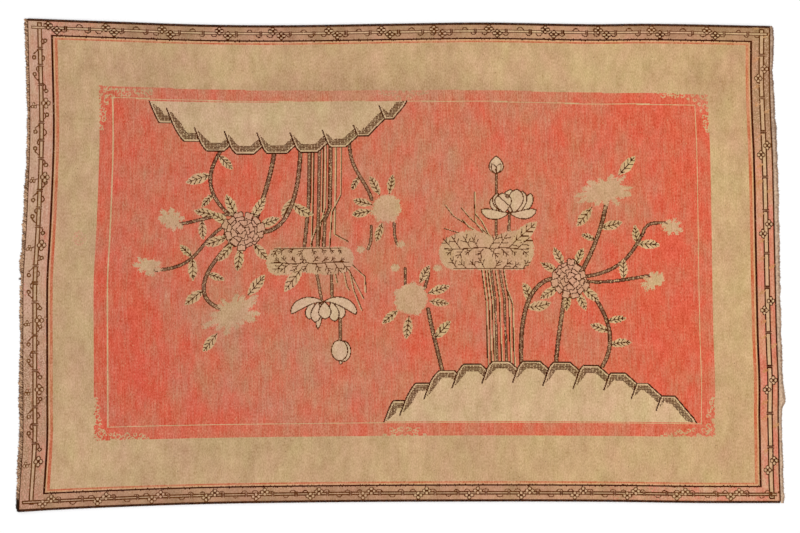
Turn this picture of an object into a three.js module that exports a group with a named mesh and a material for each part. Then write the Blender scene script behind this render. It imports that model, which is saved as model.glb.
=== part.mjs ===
// Hand-knotted room rug lying flat: one knotted pile body, a dark overcast selvedge on each long
// side, and at each short end a narrow woven web whose warp ends have frayed into a short fringe.
// Millimetres. +X runs along the length, +Y across the width, +Z up, and the underside is z = 0.
import * as THREE from 'three';

// Driving dimensions of the rug
const PILE_LENGTH = 3000;
const RUG_WIDTH = 1920;
const PILE_THICKNESS = 6;
const PILE_EDGE_ROUNDING = 1.2;
const SELVEDGE_WIDTH = 7;
const SELVEDGE_THICKNESS = 6;
const SELVEDGE_ROUNDING = 2;
const WEB_THICKNESS = 2;
const SEAM_GAP = 0.3;
const END_GAP = 0.6;

// Frayed warp ends: locks of a few warps each, which lie level on the floor
const STRANDS_PER_END = 140;
const STRAND_ROOT_WIDTH = 6;
const STRAND_TIP_WIDTH = 2.4;
const STRAND_LENGTH = 6;
const STRAND_LENGTH_SPREAD = 5;
const STRAND_LEAN = 3;

// How finely the wavy edges are followed
const SIDE_STATIONS = 72;
const END_STATIONS = 48;

// How far each edge wanders: "along" is measured on the edge from its middle, and "out" is how far
// the edge stands outside the straight line of the nominal rectangle.
const UPPER_SIDE = [
  { along: -1508, out: 25 },
  { along: -1096, out: 10 },
  { along: -804, out: 0 },
  { along: -504, out: -3 },
  { along: 0, out: 4 },
  { along: 316, out: 8 },
  { along: 796, out: 1 },
  { along: 956, out: 3 },
  { along: 1480, out: -6 },
];
const LOWER_SIDE = [
  { along: -1532, out: 25 },
  { along: -1224, out: 10 },
  { along: -804, out: -5 },
  { along: -284, out: -13 },
  { along: 0, out: -15 },
  { along: 796, out: -15 },
  { along: 1196, out: -10 },
  { along: 1520, out: -10 },
];

// At the ends "web" is also given: how far the flat woven strip and its fringe reach past the pile.
const LEFT_END = [
  { along: -985, out: 26, web: 13 },
  { along: -939, out: 25, web: 15 },
  { along: -819, out: 17, web: 18 },
  { along: -699, out: 10, web: 18 },
  { along: -520, out: 10, web: 20 },
  { along: -300, out: 10, web: 14 },
  { along: -130, out: 10, web: 17 },
  { along: -50, out: 9, web: 12 },
  { along: -12, out: 7, web: 22 },
  { along: 61, out: 2, web: 17 },
  { along: 141, out: -3, web: 19 },
  { along: 261, out: -9, web: 17 },
  { along: 529, out: -18, web: 14 },
  { along: 861, out: -12, web: 15 },
  { along: 985, out: -9, web: 17 },
];
const RIGHT_END = [
  { along: -949, out: 14.5, web: 19.5 },
  { along: -859, out: 10.5, web: 20.5 },
  { along: -699, out: 7.5, web: 17.5 },
  { along: -579, out: 5, web: 22 },
  { along: -531, out: 6, web: 31 },
  { along: -450, out: 5.5, web: 21.5 },
  { along: -339, out: 0.5, web: 24.5 },
  { along: -259, out: -2, web: 24 },
  { along: 100, out: -10, web: 26 },
  { along: 461, out: -19, web: 24 },
  { along: 541, out: -23, web: 25 },
  { along: 701, out: -29, web: 20 },
  { along: 789, out: -30, web: 17 },
  { along: 881, out: -29, web: 21 },
  { along: 954, out: -29, web: 17 },
];

const COLOURS = {
  pile: 0xcd8061,
  selvedge: 0x3f2528,
  webLeft: 0x8a6f52,
  webRight: 0xa58c76,
};

/** A smooth function of "along" through one column of an edge table. */
function smooth(rows, column) {
  const along = rows.map((row) => row.along);
  const values = rows.map((row) => row[column]);
  const curve = new THREE.CubicInterpolant(along, values, 1, new Float64Array(1));
  return (at) => curve.evaluate(at)[0];
}

/** Evenly spaced values from first to last, both included. */
function stations(first, last, steps) {
  return Array.from({ length: steps + 1 }, (_, i) => first + ((last - first) * i) / steps);
}

/** A repeatable value from 0 to 1 for the number of a strand. */
function vary(number) {
  const wave = Math.sin(number * 12.9898) * 43758.5453;
  return wave - Math.floor(wave);
}

const upperOut = smooth(UPPER_SIDE, 'out');
const lowerOut = smooth(LOWER_SIDE, 'out');
const upperY = (x) => RUG_WIDTH / 2 + upperOut(x);
const lowerY = (x) => -RUG_WIDTH / 2 - lowerOut(x);

/** The edge of the pile and the reach of the web at one end; sign is -1 at the left, 1 at the right. */
function makeEnd(rows, sign) {
  const out = smooth(rows, 'out');
  const reach = smooth(rows, 'web');
  return {
    sign,
    pileX: (y) => sign * (PILE_LENGTH / 2 + out(y)),
    reach,
  };
}

const leftEnd = makeEnd(LEFT_END, -1);
const rightEnd = makeEnd(RIGHT_END, 1);

/** Where an end of the pile meets a long side, moved in from that side's outer edge by inset. */
function corner(end, sideY, inset) {
  let y = sideY(end.sign * PILE_LENGTH / 2) + inset;
  for (let pass = 0; pass < 3; pass += 1) {
    y = sideY(end.pileX(y)) + inset;
  }
  return new THREE.Vector2(end.pileX(y), y);
}

/** A flat closed slab on z = 0 with its upper and lower rims rounded off. */
function slab(outline, thickness, rounding) {
  const geometry = new THREE.ExtrudeGeometry(new THREE.Shape(outline), {
    depth: thickness - 2 * rounding,
    bevelEnabled: rounding > 0,
    bevelThickness: rounding,
    bevelSize: rounding,
    bevelOffset: -rounding,
    bevelSegments: 1,
  });
  geometry.translate(0, 0, rounding);
  return geometry;
}

/** Outline of the knotted body, inside both selvedges, counter-clockwise from the lower left. */
function pileOutline() {
  const inset = SELVEDGE_WIDTH + SEAM_GAP;
  const lowerLeft = corner(leftEnd, lowerY, inset);
  const lowerRight = corner(rightEnd, lowerY, inset);
  const upperRight = corner(rightEnd, upperY, -inset);
  const upperLeft = corner(leftEnd, upperY, -inset);
  const lower = stations(lowerLeft.x, lowerRight.x, SIDE_STATIONS)
    .map((x) => new THREE.Vector2(x, lowerY(x) + inset));
  const right = stations(lowerRight.y, upperRight.y, END_STATIONS)
    .map((y) => new THREE.Vector2(rightEnd.pileX(y), y));
  const upper = stations(upperRight.x, upperLeft.x, SIDE_STATIONS)
    .map((x) => new THREE.Vector2(x, upperY(x) - inset));
  const left = stations(upperLeft.y, lowerLeft.y, END_STATIONS)
    .map((y) => new THREE.Vector2(leftEnd.pileX(y), y));
  return [lower, right, upper, left].flatMap((edge) => edge.slice(0, -1));
}

/** Outline of one overcast selvedge, between the pile and the rug's outer edge. */
function selvedgeOutline(sideY, inward) {
  const middle = inward * SELVEDGE_WIDTH / 2;
  const firstX = corner(leftEnd, sideY, middle).x;
  const lastX = corner(rightEnd, sideY, middle).x;
  const along = stations(firstX, lastX, SIDE_STATIONS);
  const outer = along.map((x) => new THREE.Vector2(x, sideY(x)));
  const inner = along.map((x) => new THREE.Vector2(x, sideY(x) + inward * SELVEDGE_WIDTH));
  return [...outer, ...inner.reverse()];
}

/** Outline of one end's woven web with its frayed strands, as one comb-shaped piece. */
function fringeOutline(end) {
  const { sign, pileX, reach } = end;
  const inset = END_GAP * sign;
  const firstY = corner(end, lowerY, 0).y;
  const lastY = corner(end, upperY, 0).y;
  const inner = stations(lastY, firstY, END_STATIONS)
    .map((y) => new THREE.Vector2(pileX(y) + inset, y));
  const pitch = (lastY - firstY) / STRANDS_PER_END;
  const outer = [new THREE.Vector2(pileX(firstY) + sign * (reach(firstY) - STRAND_LENGTH), firstY)];
  for (let i = 0; i < STRANDS_PER_END; i += 1) {
    const rootY = firstY + (i + 0.5) * pitch;
    const webX = (y) => pileX(y) + sign * (reach(y) - STRAND_LENGTH);
    const length = STRAND_LENGTH + STRAND_LENGTH_SPREAD * (vary(i) - 0.5);
    const tipY = rootY + STRAND_LEAN * (2 * vary(i + STRANDS_PER_END) - 1);
    const rootLow = rootY - STRAND_ROOT_WIDTH / 2;
    const rootHigh = rootY + STRAND_ROOT_WIDTH / 2;
    outer.push(
      new THREE.Vector2(webX(rootLow), rootLow),
      new THREE.Vector2(webX(rootY) + sign * length, tipY - STRAND_TIP_WIDTH / 2),
      new THREE.Vector2(webX(rootY) + sign * length, tipY + STRAND_TIP_WIDTH / 2),
      new THREE.Vector2(webX(rootHigh), rootHigh),
    );
  }
  outer.push(new THREE.Vector2(pileX(lastY) + sign * (reach(lastY) - STRAND_LENGTH), lastY));
  return [...outer, ...inner];
}

/** A named piece of the rug in its own wool or cotton. */
function piece(name, geometry, colour) {
  const material = new THREE.MeshStandardMaterial({ color: colour, roughness: 0.95, metalness: 0 });
  const mesh = new THREE.Mesh(geometry, material);
  mesh.name = name;
  return mesh;
}

const rug = new THREE.Group();
rug.add(
  piece('rug_body', slab(pileOutline(), PILE_THICKNESS, PILE_EDGE_ROUNDING), COLOURS.pile),
  piece(
    'selvedge_upper',
    slab(selvedgeOutline(upperY, -1), SELVEDGE_THICKNESS, SELVEDGE_ROUNDING),
    COLOURS.selvedge,
  ),
  piece(
    'selvedge_lower',
    slab(selvedgeOutline(lowerY, 1), SELVEDGE_THICKNESS, SELVEDGE_ROUNDING),
    COLOURS.selvedge,
  ),
  piece('end_fringe_left', slab(fringeOutline(leftEnd), WEB_THICKNESS, 0), COLOURS.webLeft),
  piece('end_fringe_right', slab(fringeOutline(rightEnd), WEB_THICKNESS, 0), COLOURS.webRight),
);

// The origin is under the middle of the rug's outer box.
const middle = new THREE.Box3().setFromObject(rug).getCenter(new THREE.Vector3());
rug.position.set(-middle.x, -middle.y, 0);

export default rug;
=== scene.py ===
"""Dresses a hand-knotted garden rug that lies flat on a pale floor.

The pile is drawn knot by knot on a chart, as a weaver's cartoon is, and the chart becomes one mesh
whose faces carry the yarn colours. The long sides are overcast with real wraps of wool, and the two
ends are narrow woven webs with frayed warps.
"""

import logging
import math
from dataclasses import dataclass, field
from enum import Enum, IntEnum

import bpy
import numpy as np
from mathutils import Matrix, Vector
from mathutils.geometry import delaunay_2d_cdt


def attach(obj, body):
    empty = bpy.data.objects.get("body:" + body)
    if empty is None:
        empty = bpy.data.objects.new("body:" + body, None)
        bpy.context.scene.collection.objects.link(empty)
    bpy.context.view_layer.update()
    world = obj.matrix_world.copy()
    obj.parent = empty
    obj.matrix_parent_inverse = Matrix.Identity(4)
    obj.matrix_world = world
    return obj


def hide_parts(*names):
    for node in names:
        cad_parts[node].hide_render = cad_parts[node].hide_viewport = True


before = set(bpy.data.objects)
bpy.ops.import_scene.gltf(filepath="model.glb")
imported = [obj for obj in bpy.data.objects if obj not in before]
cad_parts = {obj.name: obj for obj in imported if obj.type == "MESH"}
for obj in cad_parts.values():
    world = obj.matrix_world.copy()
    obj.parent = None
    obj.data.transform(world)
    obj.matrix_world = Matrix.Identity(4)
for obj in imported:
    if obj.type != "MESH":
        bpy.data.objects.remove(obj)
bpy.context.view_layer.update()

LOG = logging.getLogger("rug")
MM = 0.001
BODY = "root"
BAKE_UV = "OFBake"
KNOT_UV = "knots"
# Where the bake map keeps the pile's face, and its rim and underside: a scale and a shift each
BAKE_TOP = ((0.99, 0.80), (0.005, 0.195))
BAKE_REST = ((0.99, 0.18), (0.005, 0.005))
# The point attribute that mixes a yarn from dark to light: each strand's own tone, and on the plait also
# painted shade in the slits and on the turns' sides, with lighter crests
TONE_AND_PAINTED_SHADE = "shade"
# What the repeatable chance values are made with
CHANCE_STEP = 12.9898
CHANCE_SALT = 78.233
CHANCE_GAIN = 43758.5453
Point = tuple[float, float]
Socket = bpy.types.NodeSocket


class Yarn(IntEnum):
    """The yarns that the chart is knotted in."""

    CORAL = 0
    TAN = 1
    PINK = 2
    GUARD = 3
    STRIPE = 4
    ORANGE = 5
    STALK = 6
    OUTLINE = 7
    BARK = 8
    LEAF = 9
    BLOSSOM = 10
    PEONY = 11
    LOTUS = 12
    MOUND = 13
    UMBER = 14
    ROSE = 15
    RUSSET = 16
    THREAD = 17


@dataclass(frozen=True)
class Dye:
    """A yarn's colour where it is fresh and where light and wear have faded it, as 8-bit sRGB."""

    fresh: tuple[int, int, int]
    faded: tuple[int, int, int]


DYES: dict[Yarn, Dye] = {
    Yarn.CORAL: Dye((213, 95, 70), (191, 131, 101)),
    Yarn.TAN: Dye((204, 171, 128), (181, 146, 109)),
    Yarn.PINK: Dye((205, 135, 106), (199, 161, 133)),
    Yarn.GUARD: Dye((50, 14, 0), (78, 36, 10)),
    Yarn.STRIPE: Dye((213, 161, 117), (200, 154, 116)),
    Yarn.ORANGE: Dye((194, 98, 64), (198, 140, 104)),
    Yarn.STALK: Dye((206, 170, 133), (195, 159, 125)),
    Yarn.OUTLINE: Dye((64, 24, 3), (95, 52, 18)),
    Yarn.BARK: Dye((108, 72, 54), (142, 104, 78)),
    Yarn.LEAF: Dye((208, 174, 130), (190, 154, 114)),
    Yarn.BLOSSOM: Dye((203, 167, 128), (189, 149, 115)),
    Yarn.PEONY: Dye((206, 158, 128), (192, 146, 114)),
    Yarn.LOTUS: Dye((212, 181, 147), (202, 168, 134)),
    Yarn.MOUND: Dye((212, 181, 141), (190, 158, 121)),
    Yarn.UMBER: Dye((201, 153, 121), (159, 123, 93)),
    Yarn.ROSE: Dye((207, 123, 100), (203, 142, 118)),
    Yarn.RUSSET: Dye((196, 136, 90), (188, 142, 104)),
    Yarn.THREAD: Dye((84, 42, 16), (112, 68, 34)),
}


def linear(colour: tuple[int, int, int]) -> tuple[float, float, float, float]:
    """Turns an 8-bit sRGB colour into linear light with full alpha.

    Args:
        colour: Red, green and blue from 0 to 255.

    Returns:
        Linear red, green, blue and alpha.
    """
    shares = np.array(colour) / 255
    light = np.where(shares <= 0.04045, shares / 12.92, ((shares + 0.055) / 1.055) ** 2.4)
    return (*(float(value) for value in light), 1.0)


def vary(number: float, salt: float = 0.0) -> float:
    """Gives a repeatable value from 0 to 1 for a number."""
    return (math.sin(number * CHANCE_STEP + salt * CHANCE_SALT) * CHANCE_GAIN) % 1.0


def curve(start: Point, lift: Point, reach: Point, end: Point, steps: int = 24) -> np.ndarray:
    """Samples a cubic curve from start to end, drawn towards lift and then reach.

    Args:
        start: Where it sets out.
        lift: What it is first drawn towards.
        reach: What it is then drawn towards.
        end: Where it ends.
        steps: How many pieces it is cut into.

    Returns:
        The points along it.
    """
    t = np.linspace(0, 1, steps + 1)[:, None]
    corners = [np.asarray(p, float) for p in (start, lift, reach, end)]
    weights = ((1 - t) ** 3, 3 * (1 - t) ** 2 * t, 3 * (1 - t) * t**2, t**3)
    return sum(w * p for w, p in zip(weights, corners))


def blade(base: Point, heading: float, length: float, width: float, bend: float = 0.0,
          belly: float = 0.45, blunt: float = 1.0) -> tuple[np.ndarray, np.ndarray]:
    """Works out a leaf or petal that grows from base.

    Args:
        base: Where it grows from.
        heading: The way it sets out, in degrees from +X.
        length: From base to tip.
        width: At its widest.
        bend: How far its heading turns by the tip, in degrees.
        belly: Where along it the widest place is, from 0 to 1.
        blunt: Below 1 the ends are rounder.

    Returns:
        Its outline and its midrib, as arrays of points.
    """
    steps = 12
    share = np.linspace(0, 1, steps + 1)
    headings = np.radians(heading + bend * share)
    ways = np.stack([np.cos(headings), np.sin(headings)], 1)
    rib = np.asarray(base, float) + np.concatenate([[[0, 0]], np.cumsum(ways[:-1], 0)]) * length / steps
    half = width / 2 * np.clip(np.sin(np.pi * share ** (math.log(0.5) / math.log(belly))), 0, 1) ** blunt
    side = np.stack([-ways[:, 1], ways[:, 0]], 1) * half[:, None]
    return np.concatenate([rib + side, (rib - side)[::-1]]), rib


def ring(middle: Point, width: float, height: float, steps: int = 20) -> np.ndarray:
    """Samples an ellipse of that width and height."""
    turn = np.linspace(0, 2 * np.pi, steps, endpoint=False)
    return np.asarray(middle, float) + np.stack([width / 2 * np.cos(turn), height / 2 * np.sin(turn)], 1)


@dataclass
class KnotChart:
    """The weaver's cartoon: one yarn for each knot, in millimetres on the straightened rug."""

    left: float
    right: float
    lower: float
    upper: float
    column_pitch: float = 2.9
    row_pitch: float = 3.0
    columns: int = field(init=False)
    rows: int = field(init=False)
    xs: np.ndarray = field(init=False)
    ys: np.ndarray = field(init=False)
    knots: np.ndarray = field(init=False)

    def __post_init__(self) -> None:
        """Lays out the columns and rows of knots, all in the pink ground of the guard band."""
        self.columns = round((self.right - self.left) / self.column_pitch)
        self.rows = round((self.upper - self.lower) / self.row_pitch)
        self.xs = self.left + (np.arange(self.columns) + 0.5) * (self.right - self.left) / self.columns
        self.ys = self.lower + (np.arange(self.rows) + 0.5) * (self.upper - self.lower) / self.rows
        self.knots = np.full((self.rows, self.columns), int(Yarn.PINK), np.uint8)

    def window(self, points: np.ndarray, margin: float) -> tuple[slice, slice, np.ndarray, np.ndarray]:
        """Finds the knots round some points.

        Args:
            points: The points.
            margin: How far past them to reach.

        Returns:
            The slice of rows, the slice of columns, and the knots' X and Y.
        """
        (x0, y0), (x1, y1) = points.min(0) - margin, points.max(0) + margin
        columns = slice(*np.searchsorted(self.xs, (x0, x1)))
        rows = slice(*np.searchsorted(self.ys, (y0, y1)))
        x, y = np.meshgrid(self.xs[columns], self.ys[rows])
        return rows, columns, x, y

    @staticmethod
    def chance(rows: slice, columns: slice) -> np.ndarray:
        """Gives a repeatable value from 0 to 1 for each knot.

        Args:
            rows: The rows.
            columns: The columns.

        Returns:
            One value for each knot.
        """
        by_row = np.arange(rows.start, rows.stop) * CHANCE_STEP
        by_column = np.arange(columns.start, columns.stop) * CHANCE_SALT
        return (np.sin(np.add.outer(by_row, by_column)) * CHANCE_GAIN) % 1.0

    @staticmethod
    def inside(points: np.ndarray, x: np.ndarray, y: np.ndarray) -> np.ndarray:
        """Says which knots lie inside a closed outline, by counting the edges to their right.

        Args:
            points: The outline.
            x: The knots' X.
            y: The knots' Y.

        Returns:
            True for each knot inside.
        """
        found = np.zeros(x.shape, bool)
        for (ax, ay), (bx, by) in zip(points, np.roll(points, -1, 0)):
            if ay != by:
                crossed = (y < ay) != (y < by)
                found ^= crossed & (x < ax + (y - ay) * (bx - ax) / (by - ay))
        return found

    @staticmethod
    def distance(path: np.ndarray, x: np.ndarray, y: np.ndarray) -> tuple[np.ndarray, np.ndarray]:
        """Gives each knot's distance to a path, and its share of the way along that path.

        Args:
            path: The path.
            x: The knots' X.
            y: The knots' Y.

        Returns:
            The distances and the shares.
        """
        nearest, share = np.full(x.shape, np.inf), np.zeros(x.shape)
        run = np.concatenate([[0], np.cumsum(np.linalg.norm(np.diff(path, axis=0), axis=1))])
        for (ax, ay), (bx, by), start, stop in zip(path[:-1], path[1:], run[:-1], run[1:]):
            dx, dy = bx - ax, by - ay
            along = np.clip(((x - ax) * dx + (y - ay) * dy) / max(dx * dx + dy * dy, 1e-9), 0, 1)
            away = np.hypot(x - ax - along * dx, y - ay - along * dy)
            share = np.where(away < nearest, start + along * (stop - start), share)
            nearest = np.minimum(nearest, away)
        return nearest, share / max(run[-1], 1e-9)

    def fill(self, points: np.ndarray, yarn: Yarn, ragged: float = 0.0) -> None:
        """Knots the inside of an outline in one yarn.

        Args:
            points: The outline.
            yarn: What to knot it in.
            ragged: How far its edge strays.
        """
        rows, columns, x, y = self.window(points, ragged)
        chosen = self.inside(points, x, y)
        if ragged:
            depth = self.distance(np.vstack([points, points[:1]]), x, y)[0]
            chosen = np.where(chosen, depth, -depth) > ragged * (2 * self.chance(rows, columns) - 1)
        self.knots[rows, columns][chosen] = yarn

    def line(self, path: np.ndarray, yarn: Yarn, width: float, share: float = 1.0) -> None:
        """Knots a line along a path.

        Args:
            path: The path.
            yarn: What to knot it in.
            width: How wide the line is.
            share: The share of its knots.
        """
        rows, columns, x, y = self.window(path, width)
        chosen = (self.distance(path, x, y)[0] <= width / 2) & (self.chance(rows, columns) <= share)
        self.knots[rows, columns][chosen] = yarn

    def comb(self, cell: np.ndarray, path: np.ndarray, near: float, far: float, yarn: Yarn) -> None:
        """Knots upright teeth inside a cell, in a strip along a path that thins towards its start.

        Args:
            cell: The cell's outline.
            path: What the strip follows.
            near: How far from the path the teeth start.
            far: How far from it they end.
            yarn: What to knot them in.
        """
        rows, columns, x, y = self.window(cell, 0)
        away, share = self.distance(path, x, y)
        deep = near + (far - near) * np.clip((share - 0.06) / 0.3, 0, 1) ** 0.8
        between = (np.arange(rows.start, rows.stop) % 2 == 0)[:, None] & (self.chance(rows, columns) > 0.25)
        teeth = (np.arange(columns.start, columns.stop) % 2 == 0)[None, :] | between
        self.knots[rows, columns][self.inside(cell, x, y) & (away > near) & (away < deep) & teeth] = yarn

    def scatter(self, points: np.ndarray, yarn: Yarn, share: float) -> None:
        """Knots a share of the knots inside an outline."""
        rows, columns, x, y = self.window(points, 0)
        self.knots[rows, columns][self.inside(points, x, y) & (self.chance(rows, columns) < share)] = yarn

    def yarn_at(self, places: np.ndarray) -> np.ndarray:
        """Looks up the yarn at some places, given in knots from the lower left corner.

        Args:
            places: Columns and rows.

        Returns:
            The yarns' numbers.
        """
        columns = np.clip(places[:, 0].astype(int), 0, self.columns - 1)
        rows = np.clip(places[:, 1].astype(int), 0, self.rows - 1)
        return self.knots[rows, columns]


@dataclass(frozen=True)
class Pen:
    """Draws on the chart in a motif's own place and direction."""

    chart: KnotChart
    origin: Point = (0.0, 0.0)
    along: Point = (1.0, 0.0)
    across: Point = (0.0, 1.0)
    thread: float = 4.3
    hair: float = 3.4
    ink: Yarn = Yarn.OUTLINE
    leaf_growth: float = 1.12
    leaf_slimness: float = 0.40
    leaf_veins: int = 4
    vein_lean: float = 42.0

    def place(self, points: object) -> np.ndarray:
        """Takes points from the motif's frame to the chart's."""
        return np.asarray(self.origin) + np.asarray(points, float) @ np.array([self.along, self.across])

    def fill(self, points: object, yarn: Yarn, ragged: float = 0.0) -> None:
        """Knots the inside of an outline."""
        self.chart.fill(self.place(points), yarn, ragged)

    def line(self, path: object, yarn: Yarn | None = None, width: float | None = None) -> None:
        """Knots a line, in ink and one thread wide unless a yarn or a width is given."""
        self.chart.line(self.place(path), self.ink if yarn is None else yarn, width or self.thread)

    def outlined(self, points: object, yarn: Yarn, width: float | None = None) -> None:
        """Knots the inside of an outline and then the outline itself."""
        self.fill(points, yarn)
        self.line([*points, points[0]], width=width)

    def bark(self, path: object, width: float) -> None:
        """Knots a woody stem: dark sides with a speckled brown middle.

        Args:
            path: The stem's path.
            width: How wide it is.
        """
        spot = self.place(path)
        self.chart.line(spot, Yarn.OUTLINE, width)
        self.chart.line(spot, Yarn.BARK, width * 0.55)
        self.chart.line(spot, Yarn.LEAF, width * 0.6, 0.16)

    def leaf(self, base: Point, heading: float, length: float, bend: float = 0.0) -> None:
        """Knots a pale leaf with a dark rib and its side veins.

        Args:
            base: Where it grows from.
            heading: The way it sets out, in degrees.
            length: How long it is, before its last growth.
            bend: How far it turns by the tip, in degrees.
        """
        slim, lean = self.leaf_slimness, self.vein_lean
        grown = self.leaf_growth * length
        outline, rib = blade(base, heading, grown, grown * slim, bend, belly=0.5, blunt=0.8)
        self.fill(outline, Yarn.LEAF, 2.0)
        self.line(rib[:-1], width=self.hair)
        for pair in range(self.leaf_veins):
            share = 0.14 + 0.60 * pair / (self.leaf_veins - 1)
            at = rib[0] + (rib[-1] - rib[0]) * share if not bend else rib[round(share * (len(rib) - 1))]
            reach = 0.38 * slim * grown * math.sin(math.pi * (share + 0.08)) / math.sin(math.radians(lean))
            for side in (-1, 1):
                way = math.radians(heading + bend * share + side * lean)
                self.line([at, at + reach * np.array([math.cos(way), math.sin(way)])], width=self.hair)


@dataclass(frozen=True)
class LeafPlace:
    """A leaf on a stem: how far along it, on which side, at what lean and how long."""

    share: float
    side: int
    lean: float = 55.0
    length: float = 72.0
    bend: float = 0.0


@dataclass(frozen=True)
class Stem:
    """A woody stem on one smooth curve, with the leaves that grow from it."""

    start: Point
    lift: Point
    reach: Point
    end: Point
    width: float = 15.0
    leaves: tuple[LeafPlace, ...] = ()

    def draw(self, pen: Pen) -> None:
        """Knots the leaves and then the stem over their roots.

        Args:
            pen: What to draw with.
        """
        path = curve(self.start, self.lift, self.reach, self.end)
        for leaf in self.leaves:
            at = round(leaf.share * (len(path) - 2))
            way = path[at + 1] - path[at]
            heading = math.degrees(math.atan2(way[1], way[0])) + leaf.side * leaf.lean
            pen.leaf(tuple(path[at]), heading, leaf.length, leaf.bend)
        pen.bark(path, self.width)


@dataclass(frozen=True)
class Spray:
    """Leaves that stand round a blossom: their headings, and how far from its middle they start."""

    headings: tuple[float, ...]
    start: float
    length: float = 70.0

    def draw(self, pen: Pen, middle: Point) -> None:
        """Knots the leaves round the blossom's middle.

        Args:
            pen: What to draw with.
            middle: The blossom's middle.
        """
        for number, heading in enumerate(self.headings):
            way = math.radians(heading)
            base = (middle[0] + self.start * math.cos(way), middle[1] + self.start * math.sin(way))
            pen.leaf(base, heading, self.length * (0.9 + 0.2 * vary(number, self.start)))


@dataclass(frozen=True)
class Blossom:
    """A worn pale blossom with no outline: blunt petals of uneven length round a core, and leaves."""

    middle: Point
    width: float
    height: float
    petals: int = 9
    core: float = 0.56
    tilt: float = 0.0
    spray: Spray | None = None

    def draw(self, pen: Pen) -> None:
        """Knots the leaves and then the blossom.

        Args:
            pen: What to draw with.
        """
        if self.spray:
            self.spray.draw(pen, self.middle)
        tilt = math.radians(self.tilt)
        spin = np.array([[math.cos(tilt), math.sin(tilt)], [-math.sin(tilt), math.cos(tilt)]])
        shapes = [ring((0, 0), self.core * self.width, self.core * self.height)]
        for petal in range(self.petals):
            chances = [vary(petal, self.middle[0] + salt) for salt in range(4)]
            turn = 2 * math.pi * (petal + 0.45 * chances[0]) / self.petals
            tip = self.width / 2 * math.cos(turn), self.height / 2 * math.sin(turn)
            wide = (1.3 + 0.9 * chances[1]) / self.petals * math.sqrt(self.width * self.height)
            heading = math.degrees(math.atan2(tip[1], tip[0]))
            length = math.hypot(*tip) * (0.80 + 0.26 * chances[2])
            bend = 40 * (chances[3] - 0.5)
            shapes.append(blade((0, 0), heading, length, wide, bend, belly=0.70, blunt=0.5)[0])
        for shape in shapes:
            pen.fill(shape @ spin + np.asarray(self.middle), Yarn.BLOSSOM, 4.5)


@dataclass(frozen=True)
class Peony:
    """A full blossom of many outlined petals, ring over ring, with collar leaves."""

    middle: Point
    width: float
    height: float
    collar: tuple[float, ...]
    rings: tuple[tuple[float, int, float], ...] = (
        (0.80, 13, 0.26), (0.60, 11, 0.24), (0.38, 7, 0.24), (0.15, 3, 0.24))

    def draw(self, pen: Pen) -> None:
        """Knots the collar leaves and then the petals from the outer ring to the middle.

        Args:
            pen: What to draw with.
        """
        Spray(self.collar, 0.40 * self.width, 0.54 * self.width).draw(pen, self.middle)
        for number, (share, count, size) in enumerate(self.rings):
            for petal in (*range(0, count, 2), *range(1, count, 2)):
                turn = 2 * math.pi * (petal + number / 2 + 0.3 * vary(petal, number)) / count
                out = share * (0.86 + 0.28 * vary(petal, number + 5))
                spot = (self.middle[0] + out * self.width / 2 * math.cos(turn),
                        self.middle[1] + out * self.height / 2 * math.sin(turn))
                across = size * self.width * (0.82 + 0.36 * vary(petal, number + 9))
                pen.outlined(self.petal(spot, across, turn), Yarn.PEONY, pen.hair)

    @staticmethod
    def petal(spot: Point, across: float, turn: float) -> np.ndarray:
        """Works out a lobed petal, squarish with a notch in each side.

        Args:
            spot: Its middle.
            across: How wide it is.
            turn: Which way it faces, in radians.

        Returns:
            Its outline.
        """
        around = np.linspace(0, 2 * np.pi, 24, endpoint=False)
        reach = across / 2 * (0.90 - 0.15 * np.cos(4 * (around - turn)))
        return np.asarray(spot) + np.stack([reach * np.cos(around), reach * np.sin(around)], 1)


@dataclass(frozen=True)
class Petal:
    """A lotus petal: where its root is, its heading in degrees, and its shape as shares of the size."""

    root: float
    heading: float
    length: float
    width: float
    bend: float = 0.0


STANDING_PETALS = (
    Petal(0.06, 90, 0.92, 0.62), Petal(-0.42, 124, 0.66, 0.34, -40), Petal(-0.28, 106, 0.80, 0.44),
    Petal(0.50, 50, 0.86, 0.34, 34), Petal(0.36, 70, 0.88, 0.40, 18), Petal(0.20, 82, 0.94, 0.58),
    Petal(-0.18, 96, 0.78, 0.66), Petal(0.0, 200, 1.14, 0.38, -58), Petal(0.04, -18, 1.08, 0.36, 56),
)
NODDING_PETALS = (
    Petal(0.10, 84, 0.98, 0.20), Petal(0.34, 66, 0.64, 0.34, 20), Petal(-0.46, 118, 0.64, 0.36, -26),
    Petal(0.18, 78, 0.74, 0.36, 6), Petal(-0.28, 104, 0.72, 0.38, -8), Petal(-0.04, 92, 0.62, 0.44),
    Petal(0.02, -16, 1.30, 0.34, 80), Petal(-0.02, 196, 1.36, 0.34, -84),
)


@dataclass(frozen=True)
class Lotus:
    """A lotus of outlined round-tipped petals that open from one base."""

    base: Point
    size: float
    petals: tuple[Petal, ...]

    def draw(self, pen: Pen) -> None:
        """Knots the petals from the back to the front, and the seed eye.

        Args:
            pen: What to draw with.
        """
        (x, y), size = self.base, self.size
        for petal in self.petals:
            root = (x + petal.root * size, y)
            length, width = petal.length * size, petal.width * size
            outline = blade(root, petal.heading, length, width, petal.bend, belly=0.6, blunt=0.62)[0]
            pen.outlined(outline, Yarn.LOTUS)
        if self.petals is STANDING_PETALS:
            pen.line([(x - 0.46 * size, y + 0.70 * size), (x + 0.04 * size, y + 0.26 * size)])
            pen.outlined(ring((x - 0.06 * size, y + 0.66 * size), 15, 17, 10), Yarn.BARK, pen.hair)


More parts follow.
